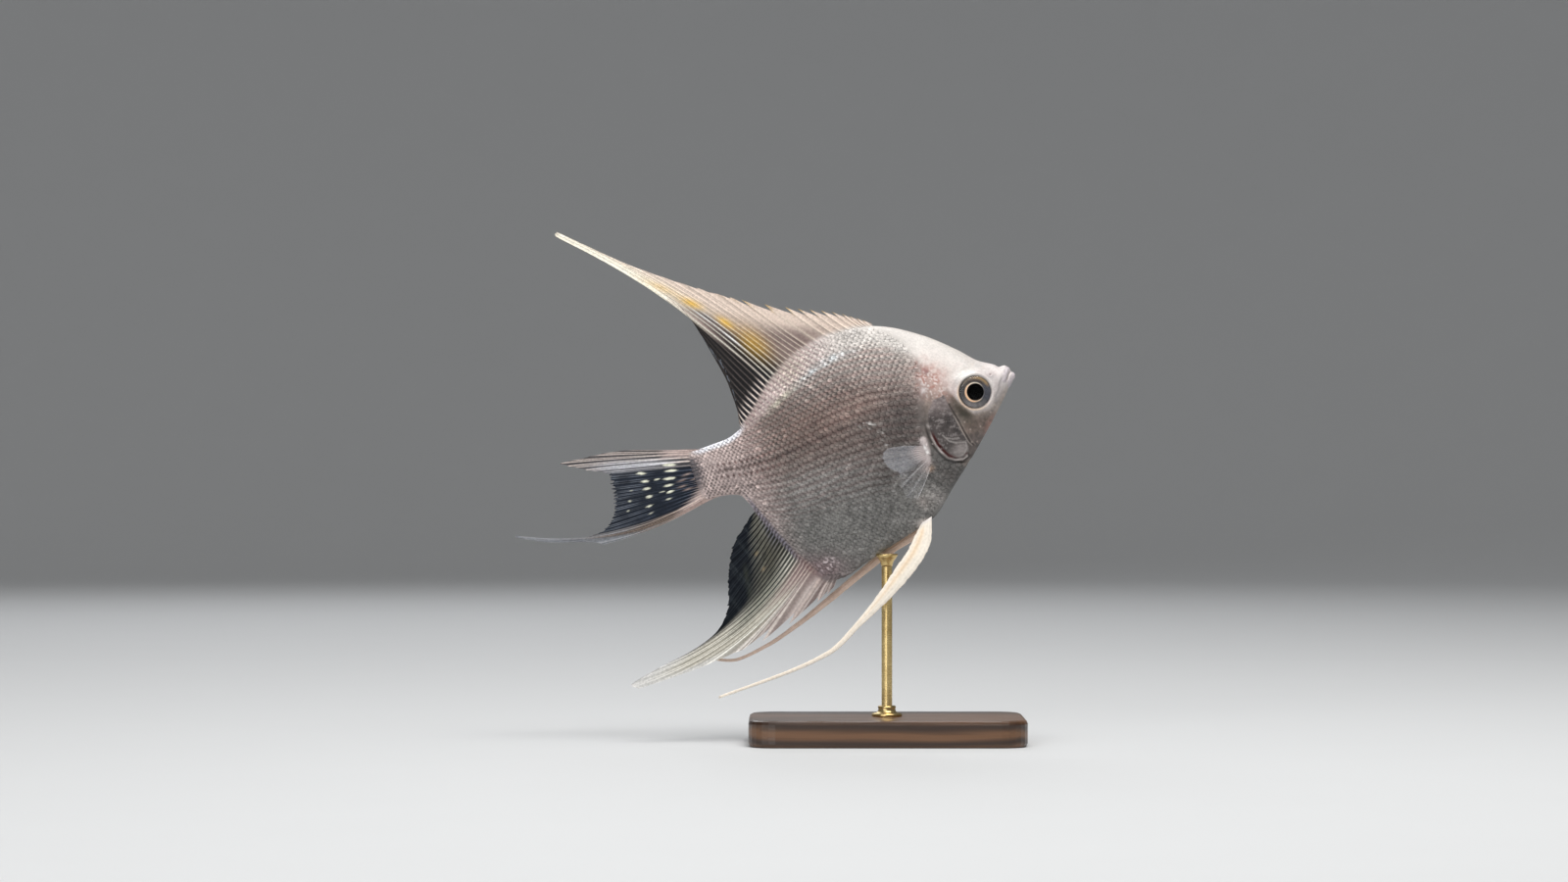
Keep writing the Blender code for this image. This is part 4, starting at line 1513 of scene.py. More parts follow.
        centre = np.stack((0.02 + where.station / self.bake_map[0],
                           0.5 + FORM.arc(where.station, root) * side / self.bake_map[1]), -1)
        spread = np.concatenate((np.stack((u.ravel(), v.ravel()), -1), [[0, 0]]))
        patch = centre[:, None] + spread[None] * self.patch
        return Shell(points.reshape(-1, 3), (quads[None] + shift).reshape(-1, 4),
                     (tris[None] + shift).reshape(-1, 3), tint.reshape(-1, 3),
                     patch.reshape(-1, 2)).outward()

    def tint(self, where: Placing, base: Array, u: Array, v: Array, luck: Array) -> Array:
        """Markings under each point, with painted shadow at the root where the scale ahead
        overlaps it, brighter before a fine dark rim, and painted highlights on a few scales.

        Args:
            where: Where the scales grow.
            base: Points of the body's form under each scale.
            u: Places along a scale, front to rear.
            v: Places across it.
            luck: A random number for each scale.

        Returns:
            Colour of each point of each scale.
        """
        s, h = -base[..., 0], base[..., 2]
        out = MARKINGS.skin(s, h)
        reach = np.hypot(u, v)[None]
        rear = smooth(-0.3, 0.7, u)[None]
        # Painted shadow at each scale's root, under the rear edge of the scale ahead, and at the
        # rear a brighter band before a fine dark rim
        mark = (0.28 * rear * smooth(0.4, 0.75, reach) - 0.2 * smooth(0.9, 1, reach) * rear
                - 0.52 * smooth(0.4, -0.05, u)[None] * smooth(0.9, 0.3, np.abs(v))[None])
        mark = mark * (0.85 + 0.7 * cloud(s, h, 2.8, 41))
        mark = mark * (1 + 0.22 * np.clip(luck, -2, 2))[:, None]
        # Random tone for each scale, plus a painted highlight on the few scales whose random
        # number is highest
        luck = 0.1 * np.clip(luck, -2.2, 2.2) + 0.4 * smooth(1.6, 2.2, luck) * where.edge
        shade = 1 + where.edge[:, None] * mark + luck[:, None]
        return out * shade[..., None]

    def make(self, finish: Material) -> None:
        """Builds and dresses the flank's scales, in pieces for its parts.

        Args:
            finish: The scales' material.
        """
        word = self.flank.word
        flank = self.flank_scales()
        front = flank.station < self.split
        parts = {
            f"scales_front_{word}": self.pick(flank, front),
            f"scales_rear_{word}": self.pick(flank, ~front),
            f"scales_dorsal_root_{word}": self.band_scales(FORM.top, DORSAL_BAND, 29, 61.5,
                                                            DORSAL_LEAN, 1),
            f"scales_anal_root_{word}": self.band_scales(FORM.belly, ANAL_BAND, 50.5, 65.5,
                                                          ANAL_LEAN, -1),
            f"scales_cheek_{word}": self.cheek_scales(),
        }
        for k, (name, placing) in enumerate(parts.items()):
            make_piece(name, self.plates(placing, self.seed + 7 * k), finish)

    @staticmethod
    def pick(where: Placing, keep: Array) -> Placing:
        """Some of the scales."""
        return Placing(*(getattr(where, name)[keep] for name in where.__dataclass_fields__))


def files(outline: Line, first: float, last: float, spacing: float) -> Line:
    """Number of the ray rooted at each station, for rays evenly spaced along an outline.

    Args:
        outline: The back or belly line.
        first: Station of ray 0.
        last: Station where counting ends.
        spacing: Millimetres between rays.

    Returns:
        Ray number by station.
    """
    station = np.linspace(first, last, 60)
    run = np.hypot(np.diff(station), np.diff(outline.at(station)))
    number = np.concatenate(([0], np.cumsum(run))) / spacing
    return Line(tuple(zip(station.tolist(), number.tolist())))


# Breadth of the small-scaled bands over the fin roots, and the way their files lean
DORSAL_BAND = Line(((28, 0), (33, 1.6), (38, 3.6), (46, 4.6), (54, 4.4), (60, 2.4), (62, 0)))
ANAL_BAND = Line(((49, 0), (53, 2.4), (57, 3.2), (62, 2.4), (66, 0)))
DORSAL_LEAN = Line(((28, 38), (40, 48), (50, 58), (62, 56)))
ANAL_LEAN = Line(((49, -38), (66, -38)))
DORSAL_FILES = files(FORM.top, 33, 61.8, 1.13)
ANAL_FILES = files(FORM.belly, 55, 65, 0.88)
# Station where the stem's flesh colour ends in the tail fin, by height
TAIL_EDGE = Line((
    (-6, 83), (-4.5, 80.5), (-2.5, 76.4), (0, 73.8), (3, 73), (5.2, 73.6), (6.6, 75.6), (8, 80)))


# ---------------- eyes


@dataclass(frozen=True)
class Eye:
    """One eye: a ball with iris and pupil, under a clear cornea."""

    flank: Flank
    pupil: float = 1.95
    ring: float = 2.19  # outer edge of the bright ring round the pupil
    around: int = 72
    dome: float = 1

    def polar(self, radius: Array, rise: Array) -> Array:
        """Points on circles about the eye's middle, risen off its plane.

        Args:
            radius: Radius of each circle.
            rise: How far each stands off the plane.

        Returns:
            Rings of points.
        """
        turn = turns(self.around)
        ds, dh = radius[:, None] * np.cos(turn), radius[:, None] * np.sin(turn)
        s, h = HEAD.eye[0] + ds, HEAD.eye[1] + dh
        side = HEAD.eye_plane(s, h) + rise[:, None]
        return np.stack((-s, self.flank.value * side, h), -1)

    def iris_tint(self, radius: Array) -> Array:
        """Black pupil, bright ring wider behind, then a grey iris, golden above and streaked.

        Args:
            radius: Radius of each circle.

        Returns:
            Colour of each point of each circle.
        """
        turn = turns(self.around)
        r = radius[:, None] * np.ones_like(turn)
        up, back = np.sin(turn), np.cos(turn)
        out = flat((0.135, 0.13, 0.134), r)
        out = mix(out, (0.07, 0.066, 0.066), smooth(0.55, 0.95, 0.78 * back + 0.62 * up) * 0.8)
        out = mix(out, (0.095, 0.1, 0.125), smooth(0.5, 0.95, -0.95 * back - 0.32 * up) * 0.8)
        out = mix(out, (0.27, 0.252, 0.255), smooth(0.45, 0.95, 0.3 * back - 0.95 * up)
                  * smooth(2.3, 2.9, r) * 0.8)
        out = mix(out, (0.36, 0.25, 0.135), smooth(0.62, 0.92, 0.75 * up - 0.66 * back)
                  * smooth(2.6, 3.1, r) * 0.9)
        out = mix(out, (0.24, 0.19, 0.15), smooth(0.75, 0.97, 0.98 * up + 0.2 * back)
                  * smooth(2.8, 3.2, r) * 0.7)
        out = mix(out, (0.05, 0.038, 0.032), smooth(0.45, 0.9, 0.95 * up - 0.32 * back)
                  * hump(r, 2.55, 0.34) * 0.85)
        streak = ripple(turn * 6, 5, 5, 0.9) * 0.5 + ripple(turn * 15, 8, 4, 0.8) * 0.5
        out = out * (1 + 0.35 * streak * smooth(2.1, 2.5, r))[..., None]
        warm = smooth(-0.4, 0.9, back * 0.9 - up * 0.3)
        bright = mix((0.74, 0.66, 0.54), (1, 0.66, 0.42), warm)
        bright = mix(bright, (0.3, 0.29, 0.29), smooth(0.55, 0.95, -0.9 * back - 0.43 * up))
        wide = self.ring + 0.2 * back
        out = mix(out, bright, smooth(0.1, -0.06, r - wide))
        out = mix(out, (0.045, 0.04, 0.04), smooth(HEAD.iris - 0.24, HEAD.iris - 0.06, r)
                  * (0.55 + 0.35 * np.abs(back)))
        return mix(out, (0.0005, 0.0005, 0.0005), smooth(self.pupil + 0.04, self.pupil - 0.03, r))

    def make(self, ball: Material, cornea: Material) -> None:
        """Builds and dresses the ball and its cornea.

        Args:
            ball: Material of the ball.
            cornea: Material of the cornea.
        """
        edge = HEAD.iris
        profile = np.array((
            (0.25, 0.46), (0.8, 0.46), (1.3, 0.46), (1.62, 0.46), (1.88, 0.45), (self.pupil, 0.44),
            (1.97, 0.44), (1.99, 0.43), (2.02, 0.4), (2.1, 0.39), (2.18, 0.37), (2.27, 0.34),
            (2.36, 0.31), (2.46, 0.29), (2.6, 0.26), (2.85, 0.2), (3.1, 0.13), (3.3, 0.06),
            (edge - 0.12, -0.02), (edge, -0.14), (edge + 0.02, -0.35), (3.3, -0.9),
            (2.2, -1.5), (0.8, -1.8)))
        tint = self.iris_tint(profile[:, 0])
        word = self.flank.word
        make_piece(f"eyeball_{word}", capped(self.polar(*profile.T), tint), ball,
                   (f"eye_{word}",))
        t = np.linspace(0.04, 1, 22)
        out_r, out_z = (edge + 0.04) * np.sin(t * math.pi / 2), np.cos(t * math.pi / 2)
        radius = np.concatenate((out_r, out_r[::-1] * 0.985))
        rise = np.concatenate((out_z * self.dome, out_z[::-1] * (self.dome - 0.06))) - 0.1
        clear = flat((1, 1, 1), np.zeros((len(radius), self.around)))
        make_piece(f"cornea_{word}", capped(self.polar(radius, rise), clear), cornea)


# ---------------- fins


def ray_arcs(root: Array, tip: Array, lean: Array, span: Array) -> Array:
    """Points along rays: quadratic arcs that leave the root at each ray's own angle.

    Args:
        root: Station and height of each root.
        tip: Station and height of each tip.
        lean: Angle at each root, in degrees.
        span: Places along the rays, 0 at the root, for each ray.

    Returns:
        Station and height for each ray and place.
    """
    root, tip = root[:, None, :], tip[:, None, :]
    angle = np.radians(lean[:, None])
    reach = np.linalg.norm(tip - root, axis=-1, keepdims=True) / 2
    knee = root + reach * np.stack((np.cos(angle), np.sin(angle)), -1)
    t = span[..., None]
    return (1 - t) ** 2 * root + 2 * t * (1 - t) * knee + t**2 * tip


CELL = (0, 0.07, 0.15, 0.28, 0.42, 0.58, 0.72, 0.85, 0.93)


@dataclass(frozen=True)
class RayCells:
    """Columns of a fin: a few to each gap between two rays, close together beside the rays."""

    marks: Array  # key-row place of each ray
    spines: int  # how many of the first rays are spines

    def columns(self) -> tuple[Array, Array, Array]:
        """Place, phase in the gap (0 on a ray) and number of the ray before it, per column.

        Returns:
            Places, phases and numbers.
        """
        cell = np.array(CELL)
        gap = np.diff(self.marks)
        place = (self.marks[:-1, None] + gap[:, None] * cell[None]).ravel()
        phase = np.tile(cell, len(gap))
        number = np.repeat(np.arange(len(gap)), len(cell))
        return (np.append(place, self.marks[-1]), np.append(phase, 0),
                np.append(number, len(gap)))


@dataclass(frozen=True)
class MedianFin:
    """A fin on the mid-plane: a web between rays that stand proud on both sides."""

    name: str
    fan: Fan
    sway: tuple[float, float, tuple[float, float]]
    sunk: float = 1.1  # how far the root is set into the body
    rows: int = 56
    web: float = 0.075  # half thicknesses
    spine: float = 0.22
    ray: float = 0.17
    thinning: float = 0.62  # share of a ray's height that is lost towards its tip
    bulk: float = 0.46  # added half thickness at the root, and how far it reaches
    bulk_reach: float = 1.7
    joint: float = 0.55  # length of the soft rays' segments
    crowd: float = 1.08  # how the rows crowd towards the root
    cut: float = 3.4  # how far the web's rim falls back behind each spine's tip
    ragged: float = 0.5  # unevenness of the rim behind the spines
    forks: tuple[float, float] = (0.3, 0.6)  # where each soft ray parts in two

    def cells(self) -> RayCells:
        """Where the rays stand."""
        raise NotImplementedError

    def filed(self, numbers: Line, first: tuple[float, ...], spines: int) -> RayCells:
        """Rays at set places, then soft rays wherever a whole file number falls.

        Args:
            numbers: Ray numbers by station, along the outline that the fin stands on.
            first: Key-row places of the first rays.
            spines: How many of them are spines.

        Returns:
            All the rays, with one on the last key row.
        """
        end = len(self.fan.rows) - 1
        place = np.linspace(first[-1], end, 400)
        number = numbers.at(self.fan.at(place)[:, 0])
        whole = np.arange(math.ceil(number[0] + 0.4), math.floor(number[-1]) + 1)
        soft = np.interp(whole, number, place)
        return RayCells(np.concatenate((first, soft, [end])), spines)

    def roots(self, rows: Array) -> Array:
        """Station and height of each column's root, inside the body."""
        raise NotImplementedError

    def tint(self, place: Array, span: Array, at: Array, on_ray: Array) -> Array:
        """Colour of each point, from its place in the fan and on the fish.

        Args:
            place: Place of each point in the fan, in key rows.
            span: Its place along its ray, from 0 to 1.
            at: Its station and height.
            on_ray: 1 on a ray, 0 on the web.

        Returns:
            Red, green and blue for each point.
        """
        raise NotImplementedError

    def drift(self, at: Array) -> Array:
        """Sideways sway that grows with distance behind a starting point.

        Args:
            at: Station and height of each point.

        Returns:
            Millimetres to the left for each point.
        """
        reach, amount, start = self.sway
        gone = np.linalg.norm(at - np.array(start), axis=-1) / reach
        return amount * gone**2 * np.sin(gone * 2.2)

    def margin(self, cells: RayCells, length: Array) -> Array:
        """Share of its key length that each column has: uneven behind the spines.

        Args:
            cells: The fin's rays.
            length: Key length of each column.

        Returns:
            One share for each column.
        """
        place, phase, number = cells.columns()
        soft = (self.ragged * (0.6 + ripple(place * 4, 3, 5, 0.8)) * (1 - smooth(26, 38, length))
                + 0.3 * hump(phase, 0.5, 0.3))
        return 1 - np.where(number < cells.spines, 0, soft / length)

    def tips(self, tip: Array, root: Array, cells: RayCells) -> Array:
        """Tips of the columns: the web's rim falls back along the spine behind each tip.

        Args:
            tip: Key tip of each column.
            root: Root of each column.
            cells: The fin's rays.

        Returns:
            Station and height of each tip.
        """
        _, phase, number = cells.columns()
        length = np.linalg.norm(root - tip, axis=-1)
        fall = np.minimum(self.cut, 0.32 * length) / length
        fall = fall * (1 - phase) * smooth(0.02, 0.12, phase) * (number < cells.spines)
        return tip + (root - tip) * fall[:, None]

    def blade(self) -> Shell:
        """The fin as a two-sided blade: web thickness plus a ridge at each ray.

        Returns:
            The fin.
        """
        cells = self.cells()
        place, phase, number = cells.columns()
        rows = self.fan.at(place)
        run = np.linspace(0, 1, self.rows)[None, :] ** self.crowd
        root = self.roots(rows)
        long = np.linalg.norm(rows[:, 1:3] - root, axis=-1)
        span = run * self.margin(cells, long)[:, None]
        at = ray_arcs(root, self.tips(rows[:, 1:3], root, cells), rows[:, -1], span)
        near = np.minimum(phase, 1 - phase)[:, None]
        soft = (number >= cells.spines)[:, None]
        fork = smooth(*self.forks, span) * soft
        ridge = (1 - fork) * hump(near, 0, 0.13) + fork * hump(near, 0.17, 0.075) * 0.85
        tall = np.where(soft, self.ray, self.spine) * (1 - self.thinning * span)
        length = np.linalg.norm(at - at[:, :1], axis=-1)
        root_bulk = self.bulk * hump(length, 0, self.bulk_reach)
        half = self.web + tall * ridge + root_bulk
        joint = 1 + 0.05 * np.sin(2 * math.pi * length / self.joint) * ridge * soft
        quiver = 0.05 * np.sin(2 * math.pi * phase)[:, None] * smooth(0.1, 0.6, span)
        middle = np.stack((-at[..., 0], self.drift(at) + quiver, at[..., 1]), -1)
        tint = self.tint(place[:, None] * np.ones_like(span), span, at, ridge)
        return two_sided(middle, half * joint, tint)

    def make(self, finish: Material, slot: str) -> None:
        """Builds and dresses the fin."""
        make_piece(f"{self.name}_membrane", self.blade(), finish, (self.name,))


class DorsalFin(MedianFin):
    """Twelve spines in front, then soft rays that draw out into a long point."""

    # Lower edge of the tan front, over the smoky rear web
    BOUND = Line(((48, 15.5), (53.2, 20.3), (56.7, 23.9), (60, 28.6), (63.6, 34.2), (68, 41)))

    def cells(self) -> RayCells:
        """Spines, then soft rays evenly spaced along the back."""
        return self.filed(DORSAL_FILES, (0, 0.2, 0.37, 0.57, 0.77, 1.05, 1.36, 1.68, 2, 2.3,
                                         2.76, 3.22), 12)

    def roots(self, rows: Array) -> Array:
        """Along the back, set a little into it."""
        s = rows[:, 0]
        return np.stack((s, FORM.top.at(s) - self.sunk), -1)

    def tint(self, place: Array, span: Array, at: Array, on_ray: Array) -> Array:
        """Tan in front, cream point, ochre patches, and a smoky rear web between pale rays.

        Args:
            place: Place of each point in the fan, in key rows.
            span: Its place along its ray, from 0 to 1.
            at: Its station and height.
            on_ray: 1 on a ray, 0 on the web.

        Returns:
            Red, green and blue for each point.
        """
        s, h = at[..., 0], at[..., 1]
        streak = 1 + 0.2 * ripple(place * 2.3, 51, 5, 0.8) * smooth(0, 0.3, span)
        web = flat((0.7, 0.575, 0.495), s)
        web = mix(web, (0.97, 0.88, 0.74), smooth(4.4, 6.2, place) * smooth(0.3, 0.6, span))
        ray = mix((0.8, 0.67, 0.57), (1, 0.95, 0.83), smooth(4, 6.5, place))
        ray = mix(ray, (0.6, 0.42, 0.2), smooth(0.84, 0.97, span) * (1 - smooth(3, 4, place)))
        low = smooth(0.7, 0.25, span) * smooth(1.2, 3.2, place)
        web, ray = mix(web, (0.17, 0.12, 0.115), low * 0.9), ray * (1 - 0.38 * low)[..., None]
        gone = np.linalg.norm(at - at[:, :1], axis=-1)
        smoky = smooth(0.7, -0.9, h - self.BOUND.at(s)) * smooth(48, 51, s)
        smoky = np.maximum(smoky, smooth(8.2, 9, place))
        base = smooth(4, 5.8, place) * smooth(0.4, 0.18, span)
        web = mix(web, (0.014, 0.014, 0.018), np.maximum(smoky, base))
        ray = mix(ray, (0.8, 0.69, 0.62), smoky * smooth(6.5, 8, place))
        far = smoky * smooth(6.8, 8, place) * smooth(2.2, 4.6, gone)
        ray = mix(ray, (0.075, 0.064, 0.06), far)
        web = mix(web, (0.016, 0.015, 0.016), far)
        web, ray = web * streak[..., None], ray * streak[..., None]
        ochre = (0.9 * spot(s, h, (57.4, 32.3), 2.2, 0.9, 52)
                 + spot(s, h, (63.2, 38.8), 2.6, 0.9, 42)
                 + 0.5 * spot(s, h, (68.5, 44.4), 4, 0.8, 42)
                 + 0.5 * spot(s, h, (52.8, 26.2), 4.5, 2.2, 60))
        ochre = np.clip(ochre, 0, 1)
        web = mix(web, (0.8, 0.46, 0.04), ochre * 0.85)
        ray = mix(ray, (0.98, 0.68, 0.14), ochre * 0.85)
        white = np.clip(spot(s, h, (61.2, 35), 4.2, 0.6, 48)
                        + spot(s, h, (57.3, 28.6), 3.4, 0.6, 62), 0, 1)
        ray = mix(ray, (0.95, 0.94, 0.93), white * 0.9)
        web = mix(web, (0.05, 0.05, 0.055), white * 0.8)
        out = mix(web, ray, np.clip(on_ray * 1.15, 0, 1))
        rim = smooth(0.84, 0.96, span) * smooth(8.6, 9.6, place)
        out = mix(out, (0.16, 0.18, 0.215), rim * 0.85)
        fleck = smooth(0.55, 0.9, ripple(s * 1.9 + h * 2.3, 21, 6, 0.3))
        out = mix(out, (0.3, 0.29, 0.28), fleck * smooth(9, 10, place) * 0.35)
        return mix(out, MARKINGS.body(s, np.minimum(h, FORM.top.at(s))),
                   smooth(0.9, -0.6, h - FORM.top.at(s)))


class AnalFin(MedianFin):
    """Short spines in front, a cream lower blade and a dark rear web."""

    def cells(self) -> RayCells:
        """Five spines, then soft rays evenly spaced along the belly."""
        return self.filed(ANAL_FILES, (0, 0.42, 0.97, 2, 3, 3.6), 5)

    def roots(self, rows: Array) -> Array:
        """Along the belly's rear, set a little into it along its normal.

        Args:
            rows: Key rows, not all of them whole.

        Returns:
            Station and height of each root.
        """
        s = rows[:, 0]
        rise = FORM.belly.slope(s)
        inward = np.stack((-rise, np.ones_like(rise)), -1) / np.hypot(rise, 1)[:, None]
        return np.stack((s, FORM.belly.at(s)), -1) + inward * self.sunk

    def tint(self, place: Array, span: Array, at: Array, on_ray: Array) -> Array:
        """Pinkish brown front, ivory rays, then blue-black web with fine dull striations.

        Args:
            place: Place of each point in the fan, in key rows.
            span: Its place along its ray, from 0 to 1.
            at: Its station and height.
            on_ray: 1 on a ray, 0 on the web.

        Returns:
            Red, green and blue for each point.
        """
        s, h = at[..., 0], at[..., 1]
        streak = 1 + 0.3 * ripple(place * 1.9, 61, 6, 0.6) * smooth(0.05, 0.35, span)
        turn = place * 3.6 + 0.5 * ripple(place * 2, 64, 4, 0.8)
        fine = 0.5 + 0.5 * np.cos(2 * math.pi * turn)
        web = mix((0.2, 0.155, 0.145), (0.78, 0.69, 0.65), fine**1.5 * 0.5)
        web = mix(web, (0.4, 0.375, 0.315), smooth(3, 4.4, place))
        web = mix(web, (0.62, 0.61, 0.585), smooth(0.7, 0.95, span) * smooth(3.5, 5, place))
        ray = mix((0.58, 0.49, 0.455), (1, 0.97, 0.87), smooth(2.4, 4.4, place))
        ray = mix(ray, (0.8, 0.79, 0.77), smooth(0.75, 0.97, span) * smooth(3.5, 5, place))
        pink = smooth(0.42, 0.06, span) * smooth(9, 6.5, place)
        pink = pink * (0.55 + 0.45 * smooth(2, 4, place))
        web, ray = mix(web, (0.25, 0.18, 0.175), pink), mix(ray, (0.6, 0.47, 0.42), pink * 0.8)
        ray = mix(ray, (0.98, 0.93, 0.9), hump(place, 3.55, 0.35) * smooth(0.1, 0.5, span) * 0.8)
        tip = 1 - smooth(9, 7.6, place) * smooth(0.72, 0.95, span)
        dark = smooth(7.6, 9.8, place + 1.2 * (span - 0.5)) * tip
        early = smooth(5.6, 7.8, place + 0.6 * (span - 0.5)) * tip * smooth(0.62, 0.4, span)
        base = smooth(0.6, 0.2, span)
        web = mix(web, (0.06, 0.064, 0.055), early)
        ray = mix(ray, (0.62, 0.61, 0.5), early * smooth(0.05, 0.3, span) * 0.75)
        web = mix(web, (0.006, 0.008, 0.012), dark)
        web = mix(web, (0.03, 0.03, 0.024), dark * base * 0.8)
        ray = mix(ray, (0.018, 0.022, 0.028), dark * (1 - 0.8 * base))
        ray = mix(ray, (0.185, 0.172, 0.132), dark * base * (0.9 - 0.45 * smooth(10.5, 13, place)))
        patchy = smooth(-0.2, 0.8, ripple(place * 1.1 + span * 3, 63, 5, 0.6))
        patchy = patchy * smooth(0.15, 0.3, span)
        ray = mix(ray, (0.02, 0.022, 0.026), dark * base * patchy * 0.8)
        violet = smooth(9.5, 11.5, place) * smooth(0.22, 0.05, span)
        ray = mix(ray, (0.17, 0.17, 0.25), violet * 0.8)
        web, ray = web * streak[..., None], ray * streak[..., None]
        out = mix(web, ray, np.clip(on_ray * 1.15, 0, 1))
        out = dabs(out, s, h, ((0.33, 0.25, 0.15), 0.7, (67.5, -19.1), 0.5, 0.28, -38),
                   ((0.33, 0.25, 0.15), 0.7, (67.2, -22.9), 0.45, 0.28, -38),
                   ((0.05, 0.055, 0.042), 0.5, (71.2, -22.8), 2, 0.6, -80),
                   ((0.05, 0.055, 0.042), 0.5, (71.7, -26.8), 1.8, 0.6, -80))
        murky = smooth(0.1, 0.9, ripple(s * 0.9 - h * 0.35, 31, 6, 0.25))
        out = mix(out, (0.055, 0.066, 0.07), murky * dark * smooth(0.3, 0.6, span) * 0.5)
        out = mix(out, (0.66, 0.65, 0.63), smooth(0.93, 1, span) * hump(place, 6.5, 1))
        return mix(out, MARKINGS.body(s, np.maximum(h, FORM.belly.at(s))),
                   smooth(-0.9, 0.6, h - FORM.belly.at(s)))


class TailFin(MedianFin):
    """A blue-black forked tail with two columns of cream dots and a trailing filament."""

    DOTS = (
        (86.2, 6.3, 1.1, 0.4), (86, 4.4, 0.95, 0.42), (86.1, 2.7, 0.9, 0.38),
        (86.2, 0.8, 0.8, 0.42), (86.8, -1.2, 0.7, 0.3), (87, -2.8, 0.5, 0.2),
        (79.6, 6.1, 1.7, 0.38), (79.6, 4.7, 1.5, 0.36), (80.5, 3.2, 1.5, 0.42),
        (83.2, 3.9, 0.6, 0.3), (81.2, 1.8, 1.1, 0.34), (81.3, 0.3, 0.9, 0.36),
        (82.2, -1.1, 0.6, 0.26), (83, 0.9, 0.7, 0.16), (90.6, 1.3, 0.3, 0.26),
        (91.7, -0.7, 0.26, 0.2), (89.6, 3.4, 0.3, 0.16))
    FLECKS = ((76.6, 2.8), (75, 1.3), (78, 1.9), (77.3, -0.4), (78.4, 0.6))

    def cells(self) -> RayCells:
        """Twenty-seven rays, closest along the two edges."""
        return RayCells(np.interp(np.linspace(0, 1, 27), (0, 0.25, 0.72, 1), (0, 4, 8.2, 19)), 0)

    def roots(self, rows: Array) -> Array:
        """A short upright line inside the end of the tail stem."""
        return np.stack((np.full(len(rows), 72 - self.sunk), rows[:, 0] * 0.94 + 0.1), -1)

    def tint(self, place: Array, span: Array, at: Array, on_ray: Array) -> Array:
        """Tan edges, grey-blue rays on a blue-black web, and cream dots in two columns.

        Args:
            place: Place of each point in the fan, in key rows.
            span: Its place along its ray, from 0 to 1.
            at: Its station and height.
            on_ray: 1 on a ray, 0 on the web.

        Returns:
            Red, green and blue for each point.
        """
        s, h = at[..., 0], at[..., 1]
        streak = 1 + 0.3 * ripple(place * 2.6, 71, 5, 0.8)
        web = flat((0.013, 0.017, 0.026), s)
        ray = flat((0.05, 0.062, 0.088), s)
        ray = mix(ray, (0.165, 0.182, 0.215), smooth(0.5, 0.95, span))
        patchy = 1 + 0.8 * np.clip(cloud(s * 0.5, h, 1.3, 74), -0.6, 1)
        ray = ray * patchy[..., None]
        upper = smooth(4, 3, place)
        lower = smooth(8.1, 9.1, place)
        web = mix(web, (0.085, 0.078, 0.08), upper * 0.85)
        ray = mix(ray, (0.94, 0.81, 0.74), upper)
        web = mix(web, (0.07, 0.056, 0.052), lower * 0.9)
        ray = mix(ray, (0.7, 0.55, 0.45), lower)
        grey = smooth(0.5, 0.8, span)
        ray = mix(ray, (0.42, 0.42, 0.44), lower * grey)
        web = mix(web, (0.2, 0.21, 0.23), lower * grey)
        web, ray = web * streak[..., None], ray * streak[..., None]
        sheen = spot(s, h, (91, 9.6), 5.4, 1.2, 14) + spot(s, h, (83, 7.6), 4.8, 0.9, 14)
        both = mix(web, ray, np.clip(on_ray * 1.1, 0, 1))
        glossy = 0.18 + 0.82 * np.clip(on_ray * 1.2, 0, 1)
        both = mix(both, (0.9, 0.92, 1), np.clip(sheen, 0, 1) * glossy)
        for s0, h0, along, across in self.DOTS:
            lean = 3 + 2.4 * h0
            dot = smooth(0.3, 0.66, spot(s, h, (s0, h0), along, 0.85 * across, lean)
                         * (1 + 0.25 * cloud(s, h, 0.35, 73)))
            both = mix(both, (0.8, 0.8, 0.66), dot * (0.55 + 0.45 * min(1, across / 0.35)))
        both = dabs(both, s, h, *(((0.42, 0.32, 0.28), 0.8, at, 0.9, 0.2) for at in self.FLECKS))
        ragged = TAIL_EDGE.at(h) + 0.9 * ripple(h * 1.3, 17, 4, 0.7)
        flesh = smooth(2.2, -1.6, s - ragged - 1.2 * (on_ray - 0.4))
        return mix(both, mix(MARKINGS.stem, (0.62, 0.5, 0.44), on_ray), flesh)


